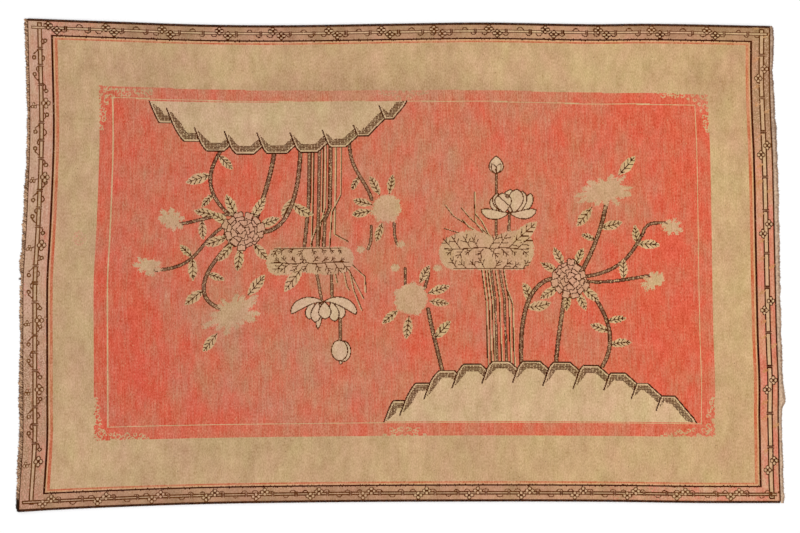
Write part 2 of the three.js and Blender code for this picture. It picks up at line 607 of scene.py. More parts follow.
@dataclass(frozen=True)
class Bud:
    """A closed lotus bud: round or pointed, with its overlapping petals."""

    middle: Point
    width: float
    height: float
    pointed: bool

    def draw(self, pen: Pen) -> None:
        """Knots the bud.

        Args:
            pen: What to draw with.
        """
        x, y = self.middle
        base = (x, y - self.height / 2)
        if self.pointed:
            pen.outlined(blade(base, 90, self.height, self.width, belly=0.40, blunt=0.75)[0], Yarn.LOTUS)
            for heading in (66, 114):
                fold = blade(base, heading, 0.62 * self.height, 0.36 * self.width, belly=0.5)[0]
                pen.line(fold, width=pen.hair)
            return
        pen.outlined(ring((x, y + 0.55 * self.height), 12, 20, 10), Yarn.LOTUS, pen.hair)
        pen.outlined(ring((x - 0.14 * self.width, y + 3), 0.86 * self.width, self.height, 24), Yarn.LOTUS)
        pen.outlined(ring((x + 0.05 * self.width, y), 0.9 * self.width, 0.98 * self.height, 24), Yarn.LOTUS)


@dataclass(frozen=True)
class Mound:
    """The bank that a garden grows from: flat-topped scallops that overlap, each with a long claw."""

    half_width: float
    height: float
    scallops: int
    left_steepness: float
    right_steepness: float
    lean: float
    claw_way: Point
    claw: float
    toe: float = 0.0
    pull: float = 0.0
    dip: float = 29.0
    rim: float = 7.5
    shade: float = 30.0

    def crest(self, x: float) -> float:
        """Gives the height of the scallops' tops at a place along the bank.

        Args:
            x: The place along the bank.

        Returns:
            The height there.
        """
        share = x / self.half_width
        steepness = self.left_steepness if share < 0 else self.right_steepness
        return self.height * (1 + self.lean * share) * (1 - min(1.0, abs(share)) ** steepness)

    def draw(self, pen: Pen) -> None:
        """Knots the bank and then each scallop over it, so that each claw lies on the one before.

        Args:
            pen: What to draw with.
        """
        step = np.linspace(-1, 1, self.scallops + 1)
        middle, half = -self.pull / 2, self.half_width - self.pull / 2
        places = middle + half * (1.15 * step - 0.15 * step**3)
        tops = [self.crest(0.475 * (left + right)) for left, right in zip(places[:-1], places[1:])]
        places[-1] += self.toe
        neighbours = zip(tops[:-1], tops[1:])
        dips = [min(a, b) - max(0.0, self.dip - 0.7 * abs(a - b)) for a, b in neighbours]
        joints = np.column_stack([places, [0.0, *dips, 0.0]])
        pen.fill(joints, Yarn.MOUND)
        cells = list(zip(joints[:-1], joints[1:], tops))
        if self.claw_way[0] > 0:
            cells = [(right, left, top) for left, right, top in reversed(cells)]
        for number, (start, end, top) in enumerate(cells):
            self.scallop(pen, start, end, top, 0.85 + 0.3 * vary(number, self.height))

    def scallop(self, pen: Pen, start: np.ndarray, end: np.ndarray, top: float, size: float) -> None:
        """Knots one scallop between two joints, with its claw line and combed inner rim.

        Args:
            pen: What to draw with.
            start: The joint that its claw hangs from.
            end: The joint at its other side.
            top: How high it stands.
            size: The length of its claw, as a share.
        """
        way = np.array(self.claw_way)
        wide = end[0] - start[0]
        sign = math.copysign(1.0, wide)
        first = np.array([start[0] + sign * min(0.45 * abs(wide), 0.8 * (top - start[1])), top])
        second = np.array([end[0] - sign * min(0.62 * abs(wide), 1.12 * (top - end[1])), top])
        lift = start - way * 0.45 * (top - start[1])
        reach = first - (0.18 * (first[0] - start[0]), 1.0)
        climb = curve(start, lift, reach, first, 6)
        claw = start + way * min(self.claw * size, max(0.0, start[1] - 4) / -way[1])
        foot = [end - (sign * 12, -20), end] if end[1] <= 0 else [end]
        edge = np.array([claw, *climb, second, *foot])
        cell = np.vstack([edge, end + way * 0.8 * self.claw])
        cell[:, 1] = np.maximum(cell[:, 1], 0)
        pen.fill(cell, Yarn.MOUND)
        pen.chart.comb(pen.place(cell), pen.place(edge), self.rim, self.shade, Yarn.OUTLINE)
        pen.line(edge, Yarn.GUARD, 5.6)


@dataclass(frozen=True)
class Trunk:
    """A bundle of thin reeds and woody strands that rise from the mound to the pad."""

    bark: float
    reeds: tuple[tuple[Point, ...], ...]
    woods: tuple[tuple[Point, ...], ...]

    def draw(self, pen: Pen) -> None:
        """Knots the thin reeds first and then the woody strands.

        Args:
            pen: What to draw with.
        """
        for path in self.reeds:
            pen.line(np.asarray(path) + (4.0, 0), Yarn.LEAF, 4.4)
            pen.line(path)
        for path in self.woods:
            pen.bark(path, self.bark)


@dataclass(frozen=True)
class Pad:
    """A cloud-edged pale pad filled with dark needle sprigs along a spine."""

    middle: Point
    width: float
    height: float
    hump: float
    sprigs: int

    def draw(self, pen: Pen) -> None:
        """Knots the cloud, its spine and the rows of sprigs above it, below it and along its foot.

        Args:
            pen: What to draw with.
        """
        lumps = 9
        for lump in range(lumps):
            share = lump / (lumps - 1) - 0.5
            tall = self.height * (0.96 + self.hump * math.cos(2 * math.pi * (share + 0.25) / 0.72))
            spot = (self.middle[0] + share * (self.width - self.height * 0.8),
                    self.middle[1] + 0.5 * (tall - self.height))
            pen.fill(ring(spot, self.height * 0.85, tall), Yarn.BLOSSOM, 3.0)
        half, spine = 0.46 * self.width, self.middle[1] + 0.06 * self.height
        foot = self.middle[1] - 0.45 * self.height
        heart = (self.middle[0] + 0.14 * half, spine - 5)
        pen.line([(self.middle[0] - 0.76 * half, foot), (self.middle[0] + 0.9 * half, foot)], width=pen.hair)
        for side in (-1, 1):
            lift = (heart[0] + side * 0.25 * half, spine + 16)
            reach = (heart[0] + side * 0.5 * half, spine - 8)
            pen.line(curve(heart, lift, reach, (self.middle[0] + side * 0.98 * half, spine)))
        rows = ((spine + 2, 0.38, 1), (spine - 2, 0.24, -1), (foot, 0.27, 1))
        for row, (base, length, down) in enumerate(rows):
            for number in range(self.sprigs):
                share = 2 * (number + 0.3 * row + 0.3 * vary(number, base)) / (self.sprigs - 0.2) - 1
                spot = (self.middle[0] + 0.86 * half * share, base)
                lean = math.copysign(30 + 22 * vary(number, length), -share) * down
                tall = length * self.height * (0.8 + 0.4 * vary(number, base + 3))
                self.sprig(pen, spot, 90 * down + lean, tall)
        pen.outlined(ring(heart, 14, 14, 8), Yarn.BLOSSOM, pen.hair)

    @staticmethod
    def sprig(pen: Pen, base: Point, heading: float, length: float) -> None:
        """Knots a twig that forks into a crow's foot.

        Args:
            pen: What to draw with.
            base: Its foot.
            heading: The way it grows, in degrees.
            length: How long it is.
        """
        way = np.array([math.cos(math.radians(heading)), math.sin(math.radians(heading))])
        pen.line([base, base + length * way], width=pen.hair)
        for share, spread in ((0.34, -52), (0.52, 46), (0.66, -44)):
            needle = math.radians(heading + spread)
            knee = base + share * length * way
            tip = knee + 0.42 * length * np.array([math.cos(needle), math.sin(needle)])
            pen.line([knee, tip], width=pen.hair)


@dataclass(frozen=True)
class Garden:
    """One half of the field: a mound, and the plants that grow from it."""

    origin: Point
    turned: bool
    mound: Mound
    trunk: Trunk
    pad: Pad
    pad_leaf: tuple[Point, float, float]
    lotus: Lotus
    bud: Bud
    stalks: tuple[tuple[Point, Point], ...]
    reeds: tuple[tuple[Point, ...], ...]
    peony: Peony
    stems: tuple[Stem, ...]
    blossoms: tuple[Blossom, ...]
    seeds: tuple[Point, ...]

    def draw(self, chart: KnotChart) -> None:
        """Knots the whole garden, upright or turned half round.

        Args:
            chart: The chart to knot on.
        """
        sign = -1.0 if self.turned else 1.0
        pen = Pen(chart, self.origin, (sign, 0.0), (0.0, sign))
        self.trunk.draw(pen)
        for stem in self.stems:
            stem.draw(pen)
        self.mound.draw(pen)
        self.draw_water_plant(pen)
        for blossom in self.blossoms:
            blossom.draw(pen)
        for seed in self.seeds:
            pen.fill(ring(seed, 34, 28), Yarn.BLOSSOM, 4.0)
        self.peony.draw(pen)

    def draw_water_plant(self, pen: Pen) -> None:
        """Knots the reeds, the pad and the lotus with its bud.

        Args:
            pen: What to draw with.
        """
        for reed in self.reeds:
            pen.line(np.asarray(reed) + (4.0, 0), Yarn.LEAF, 4.0)
            pen.line(reed, Yarn.OUTLINE, pen.hair)
        for foot, head in self.stalks:
            pen.bark([foot, head], 13)
        self.pad.draw(pen)
        base, heading, length = self.pad_leaf
        pen.leaf(base, heading, length)
        self.lotus.draw(pen)
        self.bud.draw(pen)


LOWER_GARDEN = Garden(
    origin=(556, -631), turned=False,
    mound=Mound(half_width=626, height=241, scallops=11, left_steepness=3.55, right_steepness=2.35,
                lean=0.0, claw_way=(-0.34, -0.94), claw=68, toe=55, pull=70),
    trunk=Trunk(bark=11, reeds=(
        ((-213, 200), (-216, 480), (-237, 640)),
        ((-199, 200), (-204, 480), (-222, 640)),
        ((-186, 200), (-192, 480), (-212, 640)),
        ((-158, 200), (-163, 490), (-184, 640)),
        ((-122, 200), (-126, 480), (-152, 640)),
        ((-108, 200), (-112, 470), (-130, 522)),
    ), woods=(
        ((-175, 200), (-179, 480), (-198, 640)),
        ((-138, 200), (-142, 490), (-166, 640)),
    )),
    pad=Pad((-214, 682), width=372, height=154, hump=0.09, sprigs=8),
    pad_leaf=((-110, 712), 42, 118),
    lotus=Lotus((-126, 834), size=102, petals=STANDING_PETALS),
    bud=Bud((-177, 1026), width=58, height=70, pointed=True),
    stalks=(((-176, 700), (-176, 990)), ((-126, 740), (-124, 846))),
    reeds=(((-200, 720), (-300, 790), (-350, 822), (-383, 866)), ((-190, 730), (-282, 812), (-318, 854)),
           ((-186, 700), (-262, 796), (-265, 916)), ((-200, 730), (-286, 776), (-312, 806)),
           ((-250, 735), (-337, 757), (-385, 772)), ((-196, 725), (-236, 800), (-262, 830))),
    peony=Peony((120, 574), width=140, height=146, collar=(118, 68, 152, 214, 262, 296, 322)),
    stems=(
        Stem((-80, 230), (-84, 420), (-50, 578), (80, 576), 18,
             (LeafPlace(0.52, 1, 10, 78, 60), LeafPlace(0.46, -1, 72, 92, 26))),
        Stem((56, 230), (66, 330), (86, 430), (100, 530), 18),
        Stem((240, 224), (310, 330), (265, 450), (168, 560), 17,
             (LeafPlace(0.42, 1, 60, 74), LeafPlace(0.28, -1, 62, 80, -30), LeafPlace(0.56, -1, 100, 70))),
        Stem((170, 610), (210, 690), (250, 780), (268, 900), 18,
             (LeafPlace(0.48, 1, 88, 58), LeafPlace(0.66, -1, 58, 84))),
        Stem((160, 580), (340, 600), (370, 690), (412, 760), 15,
             (LeafPlace(0.84, 1, 36, 68), LeafPlace(0.84, -1, 62, 84))),
        Stem((408, 748), (418, 800), (450, 800), (506, 798), 14),
        Stem((160, 566), (260, 552), (340, 572), (432, 586), 14, (LeafPlace(0.66, 1, 82, 76),)),
        Stem((-392, 190), (-410, 280), (-430, 360), (-446, 450), 17, (LeafPlace(0.58, -1, 54, 88),)),
        Stem((-537, 612), (-536, 590), (-536, 570), (-536, 540), 13),
        Stem((-444, 616), (-442, 590), (-448, 570), (-458, 536), 14),
    ),
    blossoms=(
        Blossom((-512, 492), 148, 142, 10, 0.86, 0, Spray((62, 18, -8, -98, -140), 70, 78)),
        Blossom((452, 566), 112, 76, 9, 0.56, 30),
        Blossom((526, 782), 92, 76, 8, 0.58, 20),
        Blossom((258, 926), 250, 136, 15, 0.58, 8, Spray((48, 232), 84, 92)),
    ),
    seeds=((-576, 616), (-408, 614)),
)

UPPER_GARDEN = Garden(
    origin=(-496, 653), turned=True,
    mound=Mound(half_width=520, height=204, scallops=9, left_steepness=3.2, right_steepness=3.5,
                lean=0.06, claw_way=(0.36, -0.93), claw=55, shade=33),
    trunk=Trunk(bark=16, reeds=(
        ((-142, 150), (-142, 610)),
        ((-180, 150), (-180, 440)),
        ((-193, 150), (-193, 420), (-174, 500), (-172, 610)),
        ((-209, 430), (-160, 500), (-138, 570)),
        ((-233, 150), (-233, 530), (-286, 560)),
        ((-254, 150), (-254, 372), (-220, 440), (-212, 610)),
    ), woods=(
        ((-124, 150), (-124, 400), (-109, 610)),
        ((-164, 150), (-164, 610)),
        ((-209, 150), (-209, 425), (-190, 470), (-188, 610)),
    )),
    pad=Pad((-136, 636), width=344, height=114, hump=0.05, sprigs=8),
    pad_leaf=((-104, 664), 54, 104),
    lotus=Lotus((-190, 800), size=112, petals=NODDING_PETALS),
    bud=Bud((-256, 996), width=72, height=84, pointed=False),
    stalks=(((-160, 660), (-186, 806)), ((-222, 670), (-226, 800)), ((-256, 850), (-256, 962))),
    reeds=(((-290, 640), (-358, 701), (-361, 764)), ((-270, 660), (-286, 738), (-296, 756)),
           ((-280, 650), (-319, 723), (-352, 790)), ((-300, 690), (-315, 760), (-345, 837)),
           ((-232, 660), (-248, 724))),
    peony=Peony((136, 516), width=160, height=136, collar=(52, 84, 132, 200, 238, 296, 330, 20)),
    stems=(
        Stem((-88, 150), (-88, 330), (-60, 520), (64, 518), 18,
             (LeafPlace(0.50, 1, 62, 90, 40), LeafPlace(0.48, -1, 20, 84, 20))),
        Stem((16, 190), (30, 290), (56, 380), (90, 480), 19),
        Stem((224, 180), (310, 300), (270, 380), (196, 446), 16,
             (LeafPlace(0.34, -1, 66, 96), LeafPlace(0.64, -1, 66, 62), LeafPlace(0.10, 1, 74, 76))),
        Stem((180, 560), (262, 640), (360, 790), (196, 830), 17,
             (LeafPlace(0.42, 1, 92, 66), LeafPlace(0.66, -1, 60, 88))),
        Stem((190, 480), (330, 560), (290, 660), (480, 670), 14,
             (LeafPlace(0.60, -1, 84, 66), LeafPlace(0.62, 1, 52, 84))),
        Stem((160, 448), (240, 440), (320, 480), (410, 488), 14,
             (LeafPlace(0.62, 1, 82, 74), LeafPlace(0.34, -1, 24, 86))),
        Stem((-286, 170), (-284, 270), (-350, 310), (-376, 392), 15, (LeafPlace(0.56, -1, 60, 60),)),
        Stem((-376, 500), (-376, 530), (-380, 560), (-366, 590), 13),
        Stem((-468, 488), (-468, 520), (-470, 550), (-482, 572), 12),
    ),
    blossoms=(
        Blossom((-436, 428), 132, 126, 9, 0.84, 0, Spray((10, -14, -62, -100, 74), 60, 78)),
        Blossom((424, 470), 118, 88, 9, 0.56, -20),
        Blossom((508, 654), 118, 82, 9, 0.56, -10),
        Blossom((172, 846), 252, 150, 15, 0.56, 28, Spray((230, 52), 96, 88)),
    ),
    seeds=((-336, 592), (-496, 574)),
)


class Side(Enum):
    """A side of the rug: the way along it and the way in from it."""

    LEFT = ((0.0, 1.0), (1.0, 0.0))
    RIGHT = ((0.0, -1.0), (-1.0, 0.0))
    UPPER = ((1.0, 0.0), (0.0, -1.0))
    LOWER = ((-1.0, 0.0), (0.0, 1.0))


@dataclass(frozen=True)
class BorderLayout:
    """Widths of the bands from the edge of the pile to the field, in millimetres."""

    guard_band: dict[Side, float]
    plain_band: dict[Side, float]
    field_line: dict[Side, float]
    edge_line: dict[Side, float]
    guard_line: dict[Side, float]
    orange: dict[Side, float]
    stripe: float = 5.5
    inset_line: float = 3.6
    field_skew: float = 0.0104

    def draw(self, chart: KnotChart) -> dict[Side, float]:
        """Knots the straight bands from the outside in.

        Args:
            chart: The chart to knot on.

        Returns:
            How far the field's edge is from the pile's edge on each side.
        """
        self.box(chart, dict.fromkeys(Side, 0.0), Yarn.OUTLINE)
        self.box(chart, self.edge_line, Yarn.PINK)
        self.darken(chart)
        self.redden(chart)
        depth = dict(self.guard_band)
        stripe = dict.fromkeys(Side, self.stripe)
        lines = ((self.guard_line, Yarn.GUARD), (stripe, Yarn.STRIPE), (self.orange, Yarn.ORANGE))
        for widths, yarn in lines:
            self.box(chart, depth, yarn)
            depth = {side: depth[side] + widths[side] for side in Side}
        self.box(chart, depth, Yarn.TAN)
        self.stray(chart, Yarn.GUARD)
        depth = {side: depth[side] + self.plain_band[side] for side in Side}
        self.box(chart, depth, Yarn.CORAL, self.field_skew)
        line = {side: depth[side] + self.field_line[side] for side in Side}
        self.box(chart, line, Yarn.LEAF, self.field_skew)
        self.box(chart, {side: line[side] + self.inset_line for side in Side}, Yarn.CORAL, self.field_skew)
        return depth

    def darken(self, chart: KnotChart) -> None:
        """Knots the guard bands of the long sides in a browner yarn, which strays in towards the corners.

        Args:
            chart: The chart to knot on.
        """
        x, y = chart.xs[None, :], chart.ys[:, None]
        chance = chart.chance(slice(0, chart.rows), slice(0, chart.columns))
        reach = {
            Side.UPPER: np.minimum((x - chart.left) / 380, (chart.right + 120 - x) / 170),
            Side.LOWER: np.minimum((x - chart.left + 60) / 170, (chart.right - x) / 700),
            Side.LEFT: np.clip(-y / 600, 0, 0.75),
            Side.RIGHT: np.clip((y - 150) / 450, 0, 0.88),
        }
        band = self.guard_band
        inside = {
            Side.UPPER: y > chart.upper - band[Side.UPPER],
            Side.LOWER: y < chart.lower + band[Side.LOWER],
            Side.LEFT: x < chart.left + band[Side.LEFT],
            Side.RIGHT: x > chart.right - band[Side.RIGHT],
        }
        for side in Side:
            brown = inside[side] & (chance < np.clip(reach[side], 0, 1) ** 2)
            chart.knots[brown & (chart.knots == Yarn.PINK)] = Yarn.UMBER

    @staticmethod
    def redden(chart: KnotChart) -> None:
        """Knots patches of the bands towards the right in a rosier yarn, where the dye lot changed.

        Args:
            chart: The chart to knot on.
        """
        x, y = chart.xs[None, :], chart.ys[:, None]
        lot = np.sin(y / 29 + x / 13) + np.sin(y / 71 - x / 23 + 1.0)
        chance = chart.chance(slice(0, chart.rows), slice(0, chart.columns))
        rosy = (lot + 1.4 * chance > 2.9 - 1.9 * np.clip((x - 700) / 700, 0, 1)) & (y < 250)
        chart.knots[rosy & (chart.knots == Yarn.PINK)] = Yarn.ROSE

    @staticmethod
    def stray(chart: KnotChart, yarn: Yarn, share: float = 0.12) -> None:
        """Lets single knots above and below a line take its yarn, so that it isn't ruled.

        Args:
            chart: The chart to knot on.
            yarn: The line's yarn.
            share: How many of the knots stray.
        """
        chance = chart.chance(slice(0, chart.rows), slice(0, chart.columns))
        for number, step in enumerate((1, -1)):
            beside = (np.roll(chart.knots, step, 0) == yarn) & (np.roll(chart.knots, 2 * step, 0) == yarn)
            run = np.roll(chart.knots, (step, 1), (0, 1)) == yarn
            chart.knots[beside & run & ((chance + 0.4 * number) % 1.0 < share)] = yarn

    @staticmethod
    def box(chart: KnotChart, depth: dict[Side, float], yarn: Yarn, skew: float = 0.0) -> None:
        """Knots all inside a rectangle that lies that deep from each side, its upper edge sloped by skew.

        Args:
            chart: The chart to knot on.
            depth: How deep each side lies.
            yarn: What to knot it in.
            skew: The slope of its upper edge.
        """
        inside_x = (chart.xs > chart.left + depth[Side.LEFT]) & (chart.xs < chart.right - depth[Side.RIGHT])
        top = chart.upper - depth[Side.UPPER] - skew * chart.xs
        inside_y = (chart.ys > chart.lower + depth[Side.LOWER])[:, None] & (chart.ys[:, None] < top[None, :])
        chart.knots[inside_x[None, :] & inside_y] = yarn


BORDERS = BorderLayout(
    guard_band={Side.LEFT: 93, Side.RIGHT: 73.5, Side.UPPER: 54, Side.LOWER: 57},
    plain_band={Side.LEFT: 163, Side.RIGHT: 153, Side.UPPER: 188, Side.LOWER: 183},
    field_line={Side.LEFT: 52, Side.RIGHT: 50, Side.UPPER: 43, Side.LOWER: 51},
    edge_line={Side.LEFT: 3.2, Side.RIGHT: 5.0, Side.UPPER: 2.4, Side.LOWER: 2.4},
    guard_line={Side.LEFT: 9.0, Side.RIGHT: 9.0, Side.UPPER: 6.5, Side.LOWER: 6.5},
    orange={Side.LEFT: 12.0, Side.RIGHT: 12.0, Side.UPPER: 6.0, Side.LOWER: 6.0},
)


@dataclass(frozen=True)
class BambooBand:
    """One side's guard band: a bamboo stalk with nodes, small blossoms and buds."""

    side: Side
    first: float
    last: float
    pitch: float
    start: float
    spread: float
    sway: float
    clusters: bool
    stalk: float = 15.5
    thread: float = 5.4
    ink: Yarn = Yarn.OUTLINE

    def draw(self, chart: KnotChart, middle: Point) -> None:
        """Knots the stalk, then what grows on it, from one end of the side to the other.

        Args:
            chart: The chart to knot on.
            middle: The middle of the side's stalk.
        """
        along, inward = self.side.value
        along = (abs(along[0]), abs(along[1]))
        pen = Pen(chart, middle, along, inward, self.thread, 3.4, self.ink)
        half = self.stalk / 2
        pen.fill([(self.first, -half), (self.last, -half), (self.last, half), (self.first, half)], Yarn.STALK)
        for across in (-half, half):
            pen.line([(self.first, across), (self.last, across)])
        for end in (self.first, self.last):
            pen.line([(end, -half), (end, half)])
        station, number = self.start, 0
        while station < self.last - 50:
            self.draw_station(pen, station, number)
            station += self.pitch * (0.94 + 0.12 * vary(number, self.pitch))
            number += 1

    def draw_station(self, pen: Pen, at: float, number: int) -> None:
        """Knots one blossom pair with the nodes and buds that go with it.

        Args:
            pen: What to draw with.
            at: The place along the stalk.
            number: Which pair it is.
        """
        half, gap = self.stalk / 2, self.pitch
        for share in (0.26, 0.52, 0.76) if self.clusters else (0.24, 0.68):
            self.node(pen, at + gap * share, half)
        for share, across in ((0.20, 1), (0.47, -1), (0.62, 1), (0.84, 1)):
            place = at + gap * share + 8 * vary(number, share)
            self.bud(pen, place, across * half, 9.0 + 4.0 * vary(number, share + 1))
        if self.clusters:
            for share, across in ((0.17, 2.6), (0.40, -3.2), (0.63, -3.3), (0.87, 2.7)):
                pen.outlined(ring((at + gap * share, across * half), 13, 13, 12), Yarn.STALK)
            for share, reach in ((0.30, 0.36), (0.74, 0.68)):
                pen.line([(at + gap * share, -half), (at + gap * reach, -3.4 * half)])
            pen.line([(at - 6, -half), (at - 10, -3.0 * half)], width=pen.hair)
            for turn in range(3):
                way = 2.1 * turn
                spot = (at - 12 + 7 * math.cos(way), -4.0 * half + 7 * math.sin(way))
                pen.outlined(ring(spot, 11, 11, 10), Yarn.STALK, pen.hair)
            self.flower(pen, (at, 2.3 * half), 12.5)
            return
        self.flower(pen, (at - self.spread / 2, -self.sway), 11.0)
        self.flower(pen, (at + self.spread / 2, self.sway), 11.0)

    @staticmethod
    def node(pen: Pen, at: float, half: float) -> None:
        """Knots a stalk's node: two thin bars that stand a little proud, with brown between.

        Args:
            pen: What to draw with.
            at: The place along the stalk.
            half: Half of the stalk's width.
        """
        proud = half + 3
        pen.fill([(at - 4, -proud), (at + 4, -proud), (at + 4, proud), (at - 4, proud)], Yarn.BARK)
        for offset in (-4.4, 4.4):
            pen.line([(at + offset, -proud - 1), (at + offset, proud + 1)], width=pen.hair)

    def bud(self, pen: Pen, at: float, across: float, size: float) -> None:
        """Knots a half-round bud that sits on the stalk, or on the right a soft leaf without an outline.

        Args:
            pen: What to draw with.
            at: The place along the stalk.
            across: How far it sits from the stalk's middle.
            size: How big it is.
        """
        turn = np.linspace(0, np.pi, 9)
        sign = math.copysign(1.0, across)
        if self.side is Side.RIGHT:
            pen.fill(blade((at, across), 90 * sign + 35, 2.6 * size, size)[0], Yarn.RUSSET, 4.0)
            return
        pen.line(np.stack([at + size * np.cos(turn), across + sign * size * 0.9 * np.sin(turn)], 1))

    @staticmethod
    def flower(pen: Pen, middle: Point, size: float) -> None:
        """Knots a four-petalled blossom with a dark heart.

        Args:
            pen: What to draw with.
            middle: Its middle.
            size: How big it is.
        """
        for turn in range(4):
            way = math.pi / 2 * turn
            spot = (middle[0] + 0.95 * size * math.cos(way), middle[1] + 0.8 * size * math.sin(way))
            pen.outlined(ring(spot, 1.35 * size, 1.2 * size, 12), Yarn.STALK, 4.2)
        pen.outlined(ring(middle, 0.8 * size, 0.7 * size, 8), Yarn.STALK, pen.hair)
        pen.fill(ring(middle, 0.55 * size, 0.5 * size, 8), Yarn.OUTLINE)


@dataclass(frozen=True)
class EdgeScrolls:
    """Lacy pale curls that eat into the field's edge at its corners and in the middle of its long sides."""

    pitch: float = 13.0
    deep: float = 40.0
    long_run: float = 215.0
    short_run: float = 165.0
    middle_run: float = 190.0

    def draw(self, chart: KnotChart, depth: dict[Side, float]) -> None:
        """Knots the curls along each side's ends and along the middle of the long sides.

        Args:
            chart: The chart to knot on.
            depth: How far in the field's edge lies on each side.
        """
        left, right = chart.left + depth[Side.LEFT], chart.right - depth[Side.RIGHT]
        lower, upper = chart.lower + depth[Side.LOWER], chart.upper - depth[Side.UPPER]
        middle_x, middle_run = (left + right) / 2, self.middle_run / 2
        runs = ((left, 1.0, self.long_run), (right, -1.0, self.long_run),
                (middle_x, 1.0, middle_run), (middle_x, -1.0, middle_run))
        for side, y in ((Side.UPPER, upper), (Side.LOWER, lower)):
            for x, way, run in runs:
                self.run(Pen(chart, (x, y), (way, 0.0), side.value[1]), run)
        for side, x in ((Side.LEFT, left), (Side.RIGHT, right)):
            for y, way in ((lower, 1.0), (upper, -1.0)):
                self.run(Pen(chart, (x, y), (0.0, way), side.value[1]), self.short_run)

    def run(self, pen: Pen, length: float) -> None:
        """Knots one scatter of curls that thins out away from its start.

        Args:
            pen: What to draw with.
            length: How long the scatter is.
        """
        count = round(length / self.pitch)
        seed = pen.origin[0] * 0.37 + pen.origin[1]
        for number in range(count):
            left_over = 1 - number / count
            at = (number + vary(number, seed)) * self.pitch
            size = 5.0 + 7.5 * vary(number, seed + 1)
            inward = self.deep * left_over**0.5 * vary(number, seed + 2)
            turn = np.linspace(0, 1.5 * np.pi, 12) + 2 * math.pi * vary(number, seed + 3)
            reach = size * np.linspace(1, 0.45, 12)
            pen.line(np.stack([at + reach * np.cos(turn), inward + reach * np.sin(turn)], 1), Yarn.TAN, 3.8)
            pen.fill(ring((at, 0), 1.1 * size, 0.6 * size * (1 + left_over), 10), Yarn.TAN, 2.0)


def draw_chart(outline: "RugOutline") -> KnotChart:
    """Draws the whole cartoon.

    Args:
        outline: The rug's straightened rectangle.

    Returns:
        The finished chart.
    """
    chart = KnotChart(outline.left, outline.right, outline.lower, outline.upper)
    depth = BORDERS.draw(chart)
    EdgeScrolls().draw(chart, depth)
    widths = BORDERS.guard_band
    left, right = chart.left + 0.52 * widths[Side.LEFT], chart.right - 0.47 * widths[Side.RIGHT]
    lower, upper = chart.lower + 0.5 * widths[Side.LOWER], chart.upper - 0.5 * widths[Side.UPPER]
    bands = (
        (BambooBand(Side.LEFT, chart.lower + 22, chart.upper - 8, pitch=280, start=-760,
                    spread=16, sway=12, clusters=True, ink=Yarn.THREAD), (left, 0)),
        (BambooBand(Side.RIGHT, chart.lower + 12, chart.upper - 10, pitch=308, start=-800,
                    spread=38, sway=-13, clusters=False), (right, 0)),
        (BambooBand(Side.UPPER, chart.left + 16, chart.right - 12, pitch=220, start=-1400,
                    spread=34, sway=9, clusters=False, stalk=9.5, thread=3.9), (0, upper)),
        (BambooBand(Side.LOWER, chart.left + 14, chart.right - 16, pitch=206, start=-1390,
                    spread=34, sway=9, clusters=False, stalk=9.5, thread=3.9, ink=Yarn.THREAD), (0, lower)),
    )
    for band, middle in bands:
        band.draw(chart, middle)
    chart.scatter(ring((-1284, 110), 56, 60), Yarn.PINK, 0.45)
    for garden in (LOWER_GARDEN, UPPER_GARDEN):
        garden.draw(chart)
    return chart


